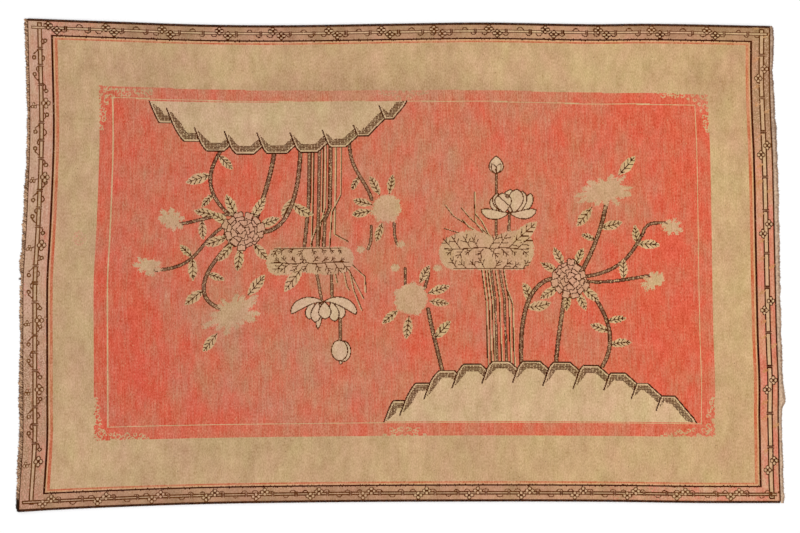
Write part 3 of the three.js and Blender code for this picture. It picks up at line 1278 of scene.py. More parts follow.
class RugOutline:
    """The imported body's wavy rim, in millimetres, and the straight rectangle that it was woven as."""

    def __init__(self, node: str) -> None:
        """Reads the rim from the node's mesh and parts it into four edges.

        Args:
            node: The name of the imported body.
        """
        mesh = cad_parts[node].data
        points = np.array([v.co for v in mesh.vertices]) / MM
        self.thickness = points[:, 2].max()
        waist = np.abs(points[:, 2] - self.thickness / 2) < 0.48 * self.thickness
        rim = np.unique(points[waist][:, :2].round(2), axis=0)
        rim = rim[np.argsort(np.arctan2(rim[:, 1] / np.ptp(rim[:, 1]), rim[:, 0] / np.ptp(rim[:, 0])))]
        ways = [(sx, sy) for sx in (-1, 1) for sy in (-1, 1)]
        corner = {(sx, sy): int(np.argmax(sx * rim[:, 0] + sy * rim[:, 1])) for sx, sy in ways}
        self.edges = {
            Side.LOWER: self.stretch(rim, corner[-1, -1], corner[1, -1], 0),
            Side.RIGHT: self.stretch(rim, corner[1, -1], corner[1, 1], 1),
            Side.UPPER: self.stretch(rim, corner[1, 1], corner[-1, 1], 0),
            Side.LEFT: self.stretch(rim, corner[-1, 1], corner[-1, -1], 1),
        }
        self.left, self.right = (float(self.edges[s][:, 0].mean()) for s in (Side.LEFT, Side.RIGHT))
        self.lower, self.upper = (float(self.edges[s][:, 1].mean()) for s in (Side.LOWER, Side.UPPER))

    @staticmethod
    def stretch(rim: np.ndarray, first: int, last: int, axis: int) -> np.ndarray:
        """Takes the rim's points from one corner to the next, in rising order along one axis.

        Args:
            rim: All of the rim.
            first: The first corner's number.
            last: The next corner's number.
            axis: 0 for X or 1 for Y.

        Returns:
            The edge's points.
        """
        count = (last - first) % len(rim)
        part = rim[(first + np.arange(count + 1)) % len(rim)]
        return part[np.argsort(part[:, axis])]

    def edge_point(self, side: Side, share: np.ndarray) -> np.ndarray:
        """Finds points along an edge, from its left or lower end.

        Args:
            side: Which edge.
            share: The shares.

        Returns:
            The points.
        """
        edge = self.edges[side]
        axis = 0 if side in (Side.LOWER, Side.UPPER) else 1
        span = (edge[:, axis] - edge[0, axis]) / (edge[-1, axis] - edge[0, axis])
        return np.stack([np.interp(share, span, edge[:, 0]), np.interp(share, span, edge[:, 1])], 1)

    def lay(self, u: np.ndarray, v: np.ndarray) -> np.ndarray:
        """Takes shares of the straight rectangle to places on the wavy rug, edge to edge.

        Args:
            u: Shares of the length.
            v: Shares of the width.

        Returns:
            The places, in millimetres.
        """
        lower, upper = self.edge_point(Side.LOWER, u), self.edge_point(Side.UPPER, u)
        left, right = self.edge_point(Side.LEFT, v), self.edge_point(Side.RIGHT, v)
        u, v = u[:, None], v[:, None]
        blend = 0.0
        for side, far_v in ((Side.LOWER, False), (Side.UPPER, True)):
            for far_u in (False, True):
                corner = self.edge_point(side, np.array([float(far_u)]))
                blend = blend + (u if far_u else 1 - u) * (v if far_v else 1 - v) * corner
        return (1 - v) * lower + v * upper + (1 - u) * left + u * right - blend


class Graph:
    """A short way to wire up a material's nodes."""

    def __init__(self, name: str) -> None:
        """Starts a material with only its shader and output.

        Args:
            name: The material's name.
        """
        self.material = bpy.data.materials.new(name)
        self.material.use_nodes = True
        self.tree = self.material.node_tree
        self.shader = self.tree.nodes["Principled BSDF"]

    def add(self, kind: str, inputs: dict[object, object] | None = None,
            **settings: object) -> bpy.types.Node:
        """Adds a node.

        Args:
            kind: The node's type name without its ShaderNode prefix.
            inputs: Values or other nodes' outputs, by input name or number.
            settings: The node's own settings.

        Returns:
            The new node.
        """
        node = self.tree.nodes.new("ShaderNode" + kind)
        for key, value in settings.items():
            setattr(node, key, value)
        for key, value in (inputs or {}).items():
            self.join(value, node.inputs[key])
        return node

    def join(self, value: object, socket: Socket) -> None:
        """Links an output to a socket, or sets the socket's value.

        Args:
            value: The output or the value.
            socket: Where it goes.
        """
        if isinstance(value, Socket):
            self.tree.links.new(value, socket)
        else:
            socket.default_value = value

    def math(self, operation: str, first: object, second: object = 0.0) -> Socket:
        """Adds a sum on two values and returns its output."""
        return self.add("Math", {0: first, 1: second}, operation=operation).outputs[0]

    def read(self, name: str, output: str) -> Socket:
        """Adds a mesh's own attribute and returns one of its outputs."""
        return self.add("Attribute", attribute_name=name).outputs[output]

    def vector(self, operation: str, *values: object) -> Socket:
        """Adds a sum on vectors and returns its output."""
        return self.add("VectorMath", dict(enumerate(values)), operation=operation).outputs[0]

    def clamp(self, value: Socket) -> Socket:
        """Keeps a value from 0 to 1."""
        return self.math("MINIMUM", self.math("MAXIMUM", value, 0.0), 1.0)

    def noise(self, place: Socket, scale: tuple[float, float, float], detail: float) -> Socket:
        """Adds soft noise on a stretched place and returns its value."""
        spot = self.vector("MULTIPLY", place, scale)
        return self.add("TexNoise", {"Vector": spot, "Scale": 1.0, "Detail": detail}).outputs["Fac"]

    def dice(self, place: Socket, scale: tuple[float, float, float]) -> Socket:
        """Adds one chance value for each cell of a stretched place."""
        cell = self.vector("FLOOR", self.vector("MULTIPLY", place, scale))
        return self.add("TexWhiteNoise", {"Vector": cell}, noise_dimensions="2D").outputs["Value"]

    def weigh(self, base: object, *terms: tuple[Socket, float]) -> Socket:
        """Adds up chance values, each as its distance from a half times a weight.

        Args:
            base: What to start from.
            terms: The values with their weights.

        Returns:
            The sum.
        """
        total = base
        for value, weight in terms:
            total = self.math("ADD", total, self.math("MULTIPLY", self.math("SUBTRACT", value, 0.5), weight))
        return total

    def wool(self, roughness: float) -> None:
        """Sets the shader's constants for dull wool with a little fuzz.

        Args:
            roughness: How rough it is.
        """
        self.shader.inputs["Roughness"].default_value = roughness
        self.shader.inputs["Specular IOR Level"].default_value = 0.03
        self.shader.inputs["Sheen Weight"].default_value = 0.01
        self.shader.inputs["Sheen Roughness"].default_value = 0.6

    def mix(self, share: object, first: object, second: object, blend: str = "MIX") -> Socket:
        """Mixes two colours.

        Args:
            share: How much of the second.
            first: The first colour.
            second: The second colour.
            blend: How they are mixed.

        Returns:
            The mixed colour.
        """
        node = self.add("Mix", data_type="RGBA", blend_type=blend)
        for name, value in (("Factor_Float", share), ("A_Color", first), ("B_Color", second)):
            self.join(value, next(s for s in node.inputs if s.identifier == name))
        return next(s for s in node.outputs if s.identifier == "Result_Color")


@dataclass(frozen=True)
class PileFinish:
    """Worn cut wool: each knot its own shade, streaks along the rows, and faded patches."""

    streak: float = 0.9
    blotch: float = 1.6
    cloud: float = 0.9
    grain: float = 0.35
    knot: float = 0.12
    shade: float = 0.30
    dash: float = 0.56
    mottle: float = 0.26
    hue: float = 2.2
    even: float = 0.545
    speck_share: float = 0.993
    spot_share: float = 0.0005
    tuft_height: float = 0.0006
    rosy: tuple[float, ...] = (0.94, 0.93, 0.97, 1)
    golden: tuple[float, ...] = (1.08, 1.06, 1.00, 1)
    pinker: tuple[float, ...] = (1.03, 0.955, 1.04, 1)
    browner: tuple[float, ...] = (0.97, 1.045, 0.96, 1)
    darkest: tuple[float, ...] = (0.004, 0.002, 0.001)
    speck: tuple[int, int, int] = (214, 178, 134)
    spot: tuple[int, int, int] = (84, 58, 36)

    def material(self) -> bpy.types.Material:
        """Builds the material on the yarn colours and the knot grid.

        Returns:
            The material.
        """
        graph = Graph("worn_wool_pile")
        place = graph.add("UVMap", uv_map=KNOT_UV).outputs["UV"]
        fresh = graph.read("fresh", "Color")
        faded = graph.read("faded", "Color")
        sun = graph.read("sun", "Fac")
        tone = graph.read("tone", "Fac")
        knot = graph.dice(place, (1, 1, 1))
        streaks = graph.noise(place, (0.42, 0.035, 1), 3)
        grain = graph.noise(place, (0.62, 0.34, 1), 1)
        mottles = graph.noise(place, (0.11, 0.06, 1), 2)
        blotches = graph.noise(place, (0.040, 0.022, 1), 4)
        clouds = graph.noise(place, (0.0085, 0.0060, 1), 2)
        share = graph.weigh(sun, (streaks, self.streak), (blotches, self.blotch), (clouds, self.cloud),
                            (grain, self.grain), (knot, self.knot))
        colour = graph.mix(graph.clamp(share), fresh, faded)
        second = graph.dice(place, (-1, 1, 1))
        light = graph.weigh(0.0, (second, 0.07), (streaks, self.shade), (grain, self.dash),
                            (mottles, self.mottle))
        root = graph.add("Gamma", {0: colour, 1: self.even}).outputs[0]
        colour = graph.vector("MAXIMUM", graph.vector("MULTIPLY_ADD", root, light, colour), self.darkest)
        hues = graph.noise(place, (0.034, 0.020, 1), 3)
        shift = graph.mix(graph.weigh(0.5, (hues, self.hue)), self.pinker, self.browner)
        colour = graph.mix(1.0, colour, shift, "MULTIPLY")
        tint = graph.mix(tone, self.rosy, self.golden)
        colour = graph.mix(1.0, colour, tint, "MULTIPLY")
        speck = graph.math("GREATER_THAN", second, self.speck_share)
        colour = graph.mix(graph.math("MULTIPLY", speck, 0.4), colour, linear(self.speck))
        spot = graph.math("LESS_THAN", second, self.spot_share)
        colour = graph.mix(graph.math("MULTIPLY", spot, 0.6), colour, linear(self.spot))
        graph.join(colour, graph.shader.inputs["Base Color"])
        self.add_tufts(graph, place, knot)
        graph.wool(0.92)
        return graph.material

    def add_tufts(self, graph: Graph, place: Socket, knot: Socket) -> None:
        """Bumps each knot into a small uneven tuft.

        Args:
            graph: The material's graph.
            place: The place on the knot grid.
            knot: Each knot's chance value.
        """
        parts = graph.add("SeparateXYZ", {0: graph.vector("MULTIPLY", place, (math.pi,) * 3)})
        across = graph.math("ABSOLUTE", graph.math("SINE", parts.outputs[0]))
        up = graph.math("ABSOLUTE", graph.math("SINE", parts.outputs[1]))
        tuft = graph.math("POWER", graph.math("MULTIPLY", across, up), 0.5)
        height = graph.math("ADD", tuft, graph.math("MULTIPLY", knot, 0.6))
        bump = graph.add("Bump", {"Strength": 0.5, "Distance": self.tuft_height, "Height": height})
        graph.join(bump.outputs[0], graph.shader.inputs["Normal"])


@dataclass(frozen=True)
class YarnFinish:
    """Spun yarn, mixed dark to light by each strand's shade value (its own tone, and on the plait painted
    shade), and the Y in metres below which it is sooty.
    """

    name: str
    dark: tuple[int, int, int]
    light: tuple[int, int, int]
    soot: float = -9.0

    def material(self) -> bpy.types.Material:
        """Builds the material on the strands' shade values, which on the plait are painted shade, and on
        object coordinates.

        Returns:
            The material.
        """
        graph = Graph(self.name)
        place = graph.add("TexCoord").outputs["Object"]
        shade = graph.read(TONE_AND_PAINTED_SHADE, "Fac")
        fine = graph.noise(place, (420, 420, 420), 2)
        flecks = graph.noise(place, (130, 130, 130), 1)
        broad = graph.noise(place, (28, 28, 28), 2)
        share = graph.weigh(shade, (fine, 0.7), (flecks, 1.4), (broad, 0.6))
        colour = graph.mix(graph.clamp(share), linear(self.dark), linear(self.light))
        height = graph.weigh(graph.add("SeparateXYZ", {0: place}).outputs[1], (fine, 0.03))
        colour = graph.mix(graph.math("LESS_THAN", height, self.soot), colour, linear((46, 30, 20)))
        graph.join(colour, graph.shader.inputs["Base Color"])
        fibre = graph.noise(place, (900, 900, 900), 2)
        bump = graph.add("Bump", {"Strength": 0.4, "Distance": 0.0006, "Height": fibre})
        graph.join(bump.outputs[0], graph.shader.inputs["Normal"])
        graph.wool(0.95)
        return graph.material


SELVEDGE_YARN = YarnFinish("selvedge_yarn", (42, 19, 10), (92, 56, 36))
# On the left web's plait the mix of dark and light is painted shade: dark in the slits and on the turns'
# sides, light on their crests
LEFT_WEB_YARN = YarnFinish("left_web_yarn", (78, 44, 23), (204, 164, 131), -0.935)
RIGHT_WEB_YARN = YarnFinish("right_web_yarn", (126, 99, 82), (219, 187, 158))


@dataclass(frozen=True)
class FadePatch:
    """A place where the rug is more, or less, faded: its middle, its reach and by how much."""

    middle: Point
    reach: Point
    amount: float


FADE_PATCHES = tuple(FadePatch(*row) for row in (
    ((1080, -80), (240, 520), -0.32),
    ((900, 560), (420, 160), -0.22),
    ((-1060, -380), (260, 330), -0.24),
    ((-1120, 500), (120, 260), -0.2),
    ((-420, -450), (420, 230), 0.22),
    ((150, 330), (330, 300), 0.20),
    ((-120, 60), (360, 200), 0.08),
    ((380, 560), (300, 90), 0.10),
    ((1470, -300), (70, 520), -0.35),
    ((-1490, 0), (75, 1100), 0.72),
    ((-100, 690), (760, 45), 0.55),
    ((0, 945), (1600, 45), 0.30),
    ((-600, -945), (1000, 45), 0.28),
    ((380, -945), (300, 40), -0.36),
    ((640, 950), (190, 40), -0.28),
    ((1465, 800), (45, 330), 0.75),
    ((1150, 955), (330, 26), 0.72),
    ((-668, -193), (130, 90), 0.30),
    ((-360, 17), (190, 70), 0.22),
    ((-496, 570), (330, 90), 0.28),
    ((-1290, -740), (200, 160), -0.25),
    ((1205, 745), (55, 75), 0.60),
    ((-136, 385), (75, 120), 0.28),
    ((-630, 385), (210, 120), -0.14),
    ((-928, -120), (24, 150), 0.28),
    ((-1069, -270), (30, 190), -0.22),
    ((-620, -320), (110, 80), 0.18),
))


@dataclass
class PileRug:
    """The knotted body: a thin closed slab whose upper face is the chart, knot for knot."""

    outline: RugOutline
    finish: PileFinish = field(default_factory=PileFinish)
    lattice: int = 14
    rounding: float = 1.2
    wear: float = 0.35
    fade: float = 0.45
    tone: float = 0.45
    tone_reach: float = 2600.0

    def build(self) -> bpy.types.Object:
        """Makes the pile's mesh with its yarns, maps and material.

        Returns:
            The finished piece.
        """
        chart = draw_chart(self.outline)
        grid, triangles = self.triangulate(chart)
        top = self.surface(chart, grid)
        rim = self.perimeter(chart, grid)
        points, faces, yarns = [top], [triangles], [chart.yarn_at(grid[triangles].mean(1))]
        shares = [grid / (chart.columns, chart.rows)]
        wall = self.outline.lay(*shares[0][rim].T)
        # The wall goes down from the shoulder to the rounded lower rim
        starts = [rim]
        shoulder = self.outline.thickness - self.rounding
        for height, inset in ((shoulder, 0.0), (self.rounding, 0.0), (0.0, self.rounding)):
            starts.append(sum(map(len, points)) + np.arange(len(rim)))
            points.append(np.column_stack([self.inset(wall, inset), np.full(len(rim), height)]))
            shares.append(shares[0][rim])
        rim_yarn = chart.yarn_at(grid[rim])
        for upper, lower in zip(starts[:-1], starts[1:]):
            a, b = upper, np.roll(upper, -1)
            c, d = np.roll(lower, -1), lower
            faces += [np.stack([a, d, c], 1), np.stack([a, c, b], 1)]
            yarns += [rim_yarn, rim_yarn]
        faces.append(self.underside(starts[-1], np.concatenate(shares)))
        yarns.append(np.full(len(faces[-1]), int(Yarn.TAN)))
        piece = self.make(np.concatenate(points), np.concatenate(faces), np.concatenate(yarns),
                          np.concatenate(shares), len(triangles), chart)
        LOG.info("pile: %d by %d knots, %d triangles", chart.columns, chart.rows, len(piece.data.polygons))
        return piece

    def triangulate(self, chart: KnotChart) -> tuple[np.ndarray, np.ndarray]:
        """Cuts the chart into triangles that never cross from one yarn to another.

        Args:
            chart: The finished chart.

        Returns:
            Points in knots from the lower left corner, and triangles.
        """
        padded = np.pad(chart.knots.astype(int), 1, constant_values=-1)
        across = padded[1:, 1:-1] != padded[:-1, 1:-1]
        upright = padded[1:-1, 1:] != padded[1:-1, :-1]
        east = np.pad(across, ((0, 0), (0, 1)))
        west = np.pad(across, ((0, 0), (1, 0)))
        north = np.pad(upright, ((0, 1), (0, 0)))
        south = np.pad(upright, ((1, 0), (0, 0)))
        level = east & west & ~north & ~south
        plumb = north & south & ~east & ~west
        level[:, :: self.lattice] = False
        plumb[:: self.lattice] = False
        wanted = (east | west | north | south) & ~level & ~plumb
        wanted[:: self.lattice, :: self.lattice] = True
        number = np.full(wanted.shape, -1)
        rows, columns = np.nonzero(wanted)
        number[rows, columns] = np.arange(len(rows))
        lines = []
        for index, edge in ((number, east), (number.T, north.T)):
            r, c = np.nonzero(index >= 0)
            follow = (r[1:] == r[:-1]) & edge[r[:-1], c[:-1]]
            lines.append(np.stack([index[r[:-1], c[:-1]][follow], index[r[1:], c[1:]][follow]], 1))
        corners = [Vector((float(x), float(y))) for x, y in zip(columns, rows)]
        found = delaunay_2d_cdt(corners, np.concatenate(lines).tolist(), [], 0, 1e-6, False)
        return np.array([tuple(v) for v in found[0]]), np.array(found[2])

    def surface(self, chart: KnotChart, grid: np.ndarray) -> np.ndarray:
        """Lays the chart's points on the rug, with a little wear in the height of the pile.

        Args:
            chart: The finished chart.
            grid: Points in knots from the lower left corner.

        Returns:
            The points on the rug.
        """
        u, v = grid[:, 0] / chart.columns, grid[:, 1] / chart.rows
        rug = self.outline
        place = rug.lay(u, v)
        rim = np.minimum(np.minimum(u, 1 - u) * chart.columns, np.minimum(v, 1 - v) * chart.rows)
        middle = np.array([rug.left + rug.right, rug.lower + rug.upper]) / 2
        place = place + (middle - place) * (np.maximum(0, 1 - rim) * self.rounding / 1000)[:, None]
        wave = np.sin(u * 23 + 1.3) * np.sin(v * 17 + 0.4) + 0.6 * np.sin(u * 51 + v * 39)
        height = rug.thickness - self.wear * (0.5 + 0.3 * wave)
        return np.column_stack([place, height])

    @staticmethod
    def perimeter(chart: KnotChart, grid: np.ndarray) -> np.ndarray:
        """Numbers the points on the chart's outer edge, counter-clockwise from the lower left.

        Args:
            chart: The finished chart.
            grid: Points in knots from the lower left corner.

        Returns:
            The points' numbers.
        """
        x, y = grid.T
        lower = np.flatnonzero(y == 0)
        right = np.flatnonzero((x == chart.columns) & (y > 0))
        upper = np.flatnonzero((y == chart.rows) & (x < chart.columns))
        left = np.flatnonzero((x == 0) & (y > 0) & (y < chart.rows))
        return np.concatenate([lower[np.argsort(x[lower])], right[np.argsort(y[right])],
                               upper[np.argsort(-x[upper])], left[np.argsort(-y[left])]])

    @staticmethod
    def inset(loop: np.ndarray, by: float) -> np.ndarray:
        """Moves a counter-clockwise loop inwards.

        Args:
            loop: The loop's points.
            by: How far.

        Returns:
            The moved loop.
        """
        way = np.roll(loop, -1, 0) - np.roll(loop, 1, 0)
        inward = np.stack([-way[:, 1], way[:, 0]], 1)
        return loop + by * inward / np.linalg.norm(inward, axis=1, keepdims=True)

    @staticmethod
    def underside(loop: np.ndarray, shares: np.ndarray) -> np.ndarray:
        """Closes the flat underside inside its rim, on the straight rectangle.

        Args:
            loop: The rim's numbers.
            shares: All points' shares of the rectangle.

        Returns:
            The triangles.
        """
        corners = [Vector(share) for share in shares[loop]]
        found = delaunay_2d_cdt(corners, [], [], 0, 1e-7, True)
        source = np.array([ids[0] for ids in found[3]])
        return loop[source[np.array(found[2])]][:, ::-1]

    def make(self, points: np.ndarray, faces: np.ndarray, yarns: np.ndarray, shares: np.ndarray, tops: int,
             chart: KnotChart) -> bpy.types.Object:
        """Puts the mesh together and gives it its colours, maps and material.

        Args:
            points: All points, in millimetres.
            faces: The triangles.
            yarns: Each triangle's yarn.
            shares: The points' shares of the rectangle.
            tops: How many triangles the upper face has.
            chart: The finished chart.

        Returns:
            The finished piece.
        """
        mesh = bpy.data.meshes.new("rug_pile")
        mesh.from_pydata((points * MM).tolist(), [], faces.tolist())
        for name in ("fresh", "faded"):
            table = np.array([linear(getattr(DYES[yarn], name)) for yarn in Yarn])
            mesh.attributes.new(name, "FLOAT_COLOR", "FACE").data.foreach_set("color", table[yarns].ravel())
        sun = np.full(len(points), self.fade)
        for patch in FADE_PATCHES:
            away = (points[:, :2] - patch.middle) / patch.reach
            sun += patch.amount * np.exp(-(away**2).sum(1))
        mesh.attributes.new("sun", "FLOAT", "POINT").data.foreach_set("value", sun)
        tone = np.clip(self.tone + points[:, 0] / self.tone_reach, 0, 1)
        mesh.attributes.new("tone", "FLOAT", "POINT").data.foreach_set("value", tone)
        corners = np.empty(len(mesh.loops), int)
        mesh.loops.foreach_get("vertex_index", corners)
        knots = shares * (chart.columns, chart.rows)
        mesh.uv_layers.new(name=KNOT_UV).data.foreach_set("uv", knots[corners].ravel())
        bake = shares[corners] * BAKE_TOP[0] + BAKE_TOP[1]
        bake[3 * tops:] = shares[corners[3 * tops:]] * BAKE_REST[0] + BAKE_REST[1]
        mesh.uv_layers.new(name=BAKE_UV).data.foreach_set("uv", bake.ravel())
        mesh.materials.append(self.finish.material())
        piece = bpy.data.objects.new("rug_pile", mesh)
        bpy.context.scene.collection.objects.link(piece)
        return piece


@dataclass
class Bundle:
    """Gathers strands of yarn, each with its shade value (its own tone, and on the plait also painted shade),
    into one smooth mesh.
    """

    points: list[np.ndarray] = field(default_factory=list)
    faces: list[list[int]] = field(default_factory=list)
    shades: list[np.ndarray] = field(default_factory=list)
    count: int = 0

    def add(self, points: np.ndarray, faces: list[list[int]], shade: float | np.ndarray) -> None:
        """Adds one strand.

        Args:
            points: Its points, in millimetres.
            faces: Its faces.
            shade: One shade, or one for each point.
        """
        self.points.append(points)
        self.faces += [[self.count + number for number in face] for face in faces]
        self.shades.append(np.broadcast_to(shade, len(points)))
        self.count += len(points)

    def link(self, name: str, finish: YarnFinish) -> bpy.types.Object:
        """Makes the piece.

        Args:
            name: The piece's name.
            finish: What it is made of.

        Returns:
            The piece, linked to the scene.
        """
        mesh = bpy.data.meshes.new(name)
        mesh.from_pydata((np.concatenate(self.points) * MM).tolist(), [], self.faces)
        mesh.polygons.foreach_set("use_smooth", np.ones(len(self.faces), bool))
        mesh.attributes.new(TONE_AND_PAINTED_SHADE, "FLOAT", "POINT").data.foreach_set("value", np.concatenate(self.shades))
        mesh.materials.append(finish.material())
        piece = bpy.data.objects.new(name, mesh)
        bpy.context.scene.collection.objects.link(piece)
        return piece


def loft(count: int, around: int) -> list[list[int]]:
    """Joins closed sections into a skin with a cap at each end.

    Args:
        count: How many sections there are.
        around: How many points each one has.

    Returns:
        The faces.
    """
    faces = []
    for low in range(0, (count - 1) * around, around):
        for k in range(around):
            n = (k + 1) % around
            faces.append([low + k, low + n, low + around + n, low + around + k])
    last = (count - 1) * around
    return [*faces, list(range(around))[::-1], list(range(last, last + around))]


@dataclass
class Selvedge:
    """One long side's edge cord, overcast from end to end with dark wool."""

    node: str
    pitch: float = 3.8
    yarn: float = 0.95
    slant: float = 0.22
    knob: float = 0.0
    knob_reach: float = 75.0
    height: float = field(init=False)
    width: float = field(init=False)

    def build(self) -> bpy.types.Object:
        """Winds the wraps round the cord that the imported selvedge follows.

        Returns:
            The finished piece.
        """
        points = np.array([v.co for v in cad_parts[self.node].data.vertices]) / MM
        self.height = points[:, 2].max()
        waist = points[np.abs(points[:, 2] - self.height / 2) < 0.3 * self.height]
        xs = np.unique(waist[:, 0].round(1))
        middle = np.array([waist[np.abs(waist[:, 0] - x) < 0.2][:, 1].mean() for x in xs])
        self.width = float(np.median([np.ptp(waist[np.abs(waist[:, 0] - x) < 0.2][:, 1]) for x in xs]))
        wrap, wrap_faces = self.make_wrap()
        stations = np.arange(xs[0] + 2.5, xs[-1] - 2.5, self.pitch)
        centre = np.interp(stations, xs, middle)
        slope = np.gradient(centre, stations)
        bundle = Bundle()
        for number, (x, y, rise) in enumerate(zip(stations, centre, slope)):
            swell = 1 - 0.10 * vary(number, 3) + self.knob * math.exp(-((x - xs[0]) / self.knob_reach) ** 2)
            along, across, up = (wrap * (1, swell, swell)).T
            inward = -math.copysign(1.0, y)
            across = inward * np.minimum(inward * across, self.width / 2)
            turned = np.column_stack([x + along - rise * across, y + across + rise * along,
                                      self.height / 2 * swell + up])
            bundle.add(turned, wrap_faces, vary(number, 5))
        return bundle.link(self.node + "_wraps", SELVEDGE_YARN)

    def make_wrap(self) -> tuple[np.ndarray, list[list[int]]]:
        """Models one turn of yarn round the cord.

        Returns:
            Its points and faces.
        """
        bpy.ops.object.select_all(action="DESELECT")
        outer = self.width / 2
        bpy.ops.mesh.primitive_torus_add(major_segments=12, minor_segments=5, major_radius=outer - self.yarn,
                                         minor_radius=self.yarn, rotation=(0, math.pi / 2, 0))
        turn = bpy.context.object
        bpy.ops.object.transform_apply(location=False, rotation=True, scale=False)
        bpy.ops.object.mode_set(mode="EDIT")
        bpy.ops.mesh.select_all(action="SELECT")
        bpy.ops.transform.resize(value=(0.62 * self.pitch / self.yarn, 1, self.height / self.width))
        bpy.ops.object.mode_set(mode="OBJECT")
        points = np.array([v.co for v in turn.data.vertices])
        points[:, 0] += self.slant * points[:, 1]
        faces = [list(face.vertices) for face in turn.data.polygons]
        bpy.data.objects.remove(turn, do_unlink=True)
        return points, faces


@dataclass
class EndWeb:
    """One end's woven web: a strip, the plait worked over it if it has one, and short frayed warps."""

    node: str
    sign: float
    finish: YarnFinish
    strands: int
    trim: float
    plait: float = 0.0
    step: float = 2.0
    rib: float = 6.0
    slant: float = 36.0
    dim: float = 0.0
    tuck: float = 1.1
    lip: float = 0.1
    clearance: float = 0.3
    tufts: tuple[float, ...] = ()
    tuft_strands: int = 24
    tuft_pitch: float = 0.3
    dim_from: float = 300.0

    def build(self) -> bpy.types.Object:
        """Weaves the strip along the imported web, plaits it, and lays the frayed strands at its edge.

        Returns:
            The finished piece.
        """
        inner, outer = self.edges()
        ys = np.arange(inner[0, 0], inner[-1, 0], self.step)
        root = np.interp(ys, inner[:, 0], inner[:, 1]) - self.tuck
        ragged = 0.6 * np.sin(ys * 0.21) + np.sin(ys * 0.53 + 2) + [1.2 * vary(round(y / 6), 4) for y in ys]
        reach = np.maximum(5.0, np.interp(ys, outer[:, 0], outer[:, 1]) - root - self.trim + 0.6 * ragged)
        bundle = Bundle()
        self.weave(bundle, ys, root, reach - (3.0 if self.plait else 0.0))
        if self.plait:
            self.twist(bundle, ys, root, reach)
        for number in range(self.strands):
            row = int((number + vary(number, 1)) / self.strands * (len(ys) - 1))
            tube = self.strand(ys[row], root[row] + reach[row], number)
            bundle.add(tube.reshape(-1, 3), loft(*tube.shape[:2]), 0.2 + 0.4 * vary(number, 17))
        for place in self.tufts:
            edge = np.interp(place, ys, root + reach)
            for number in range(self.tuft_strands):
                offset = self.tuft_pitch * (number - self.tuft_strands // 2)
                tube = self.strand(place + offset, edge + 0.5 + 2 * (number % 3), number)
                bundle.add(tube.reshape(-1, 3), loft(*tube.shape[:2]), -0.5)
        # The strip is darker towards its upper end where dim is set
        for number, points in enumerate(bundle.points):
            far = np.clip((points[:, 1] - self.dim_from) / self.dim_from, 0, 1)
            bundle.shades[number] = bundle.shades[number] - self.dim * far
        return bundle.link(self.node + "_web", self.finish)

    def edges(self) -> tuple[np.ndarray, np.ndarray]:
        """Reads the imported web's inner edge and the reach of its strands, as rows of Y and outward X.

        Returns:
            The inner edge and the strands' reach.
        """
        points = np.array([v.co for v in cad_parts[self.node].data.vertices]) / MM
        y, out = points[:, 1], self.sign * points[:, 0]
        bins = np.linspace(y.min(), y.max(), 49)
        inner = [(at, out[np.abs(y - at) < 0.6].min()) for at in bins if (np.abs(y - at) < 0.6).any()]
        wide = 16.0
        outer = [(at, out[np.abs(y - at) < wide].max()) for at in np.linspace(y.min(), y.max(), 120)]
        return np.array(inner), np.array(outer)

    def weave(self, bundle: Bundle, ys: np.ndarray, root: np.ndarray, reach: np.ndarray) -> None:
        """Weaves the strip: low under a plait and dark there as painted shade for the slits between its
        turns, and else folded double along its inner half.

        Args:
            bundle: What gathers the strands.
            ys: The places along the end.
            root: Where the strip starts there.
            reach: How wide it is there.
        """
        share = np.linspace(0, 1, 9)
        fold = np.full(9, 0.9) if self.plait else np.where(share < 0.6, 2.0, 1.3)
        # Under a plait the strip is dark as painted shade in the slits between the turns; without one, the
        # inner half is lighter than the outer
        shade = np.full(9, 0.10) if self.plait else np.where(share < 0.6, 0.75, 0.35)
        sections, shades = [], []
        for y, at, wide in zip(ys, root, reach):
            rib = abs(math.sin(math.pi * y / self.rib)) ** 0.7
            weft = np.cos(2 * np.pi * (share * 4 + 0.5 * round(y / self.rib)))
            height = fold + 0.2 * rib + 0.2 * weft * rib + 0.1 * math.sin(y * 0.083 + 1)
            height = height * np.clip(np.minimum(share, 1 - share) * 9 + self.lip, 0, 1)
            out = np.concatenate([at + wide * share, [at + wide, at]])
            sections.append(np.column_stack([self.sign * out, np.full(len(out), y), [*height, 0.05, 0.05]]))
            shades.append([*shade, shade[-1], shade[0]])
        faces = loft(len(sections), len(sections[0]))
        if self.sign > 0:
            faces = [face[::-1] for face in faces]
        bundle.add(np.concatenate(sections), faces, np.concatenate(shades))

    def twist(self, bundle: Bundle, ys: np.ndarray, root: np.ndarray, reach: np.ndarray) -> None:
        """Lays the plait's slanting turns side by side along the strip, each painted with shade on its sides
        and light on its crest.

        Args:
            bundle: What gathers the strands.
            ys: The places along the end.
            root: Where the strip starts there.
            reach: How wide it is there.
        """
        turn, faces = self.make_turn()
        along, across, up = turn.T
        for number, y in enumerate(np.arange(ys[0] + self.plait / 2, ys[-1] - self.plait / 2, self.plait)):
            chances = [vary(number, salt) for salt in (21, 22, 23, 24)]
            way = math.radians(self.slant + 34 * (chances[0] - 0.5))
            wide = np.interp(y, ys, reach) + 2.4 * (chances[1] - 0.5)
            half_length = 0.5 * wide / math.cos(way)
            half_width = 0.5 * self.plait * (0.54 + 0.36 * chances[2])
            out = np.interp(y, ys, root) + wide / 2 + half_length * along * math.cos(way)
            side = y + half_length * along * math.sin(way) + half_width * across * math.cos(way)
            pile_edge = np.interp(side, ys, root) + self.tuck - self.clearance
            out = np.maximum(out - half_width * across * math.sin(way), pile_edge)
            height = np.maximum(0.05, 1.4 + 1.5 * up - 0.35 * along)
            # Painted shade and light: each turn is dark on its sides and light on its crest and a little
            # darker towards its outer end, with a random tone for each turn
            shade = 0.06 + 0.75 * np.clip(up, 0, 1) ** 0.6 - 0.14 * along + 0.8 * (chances[3] - 0.5)
            bundle.add(np.column_stack([self.sign * out, side, height]), faces, shade)

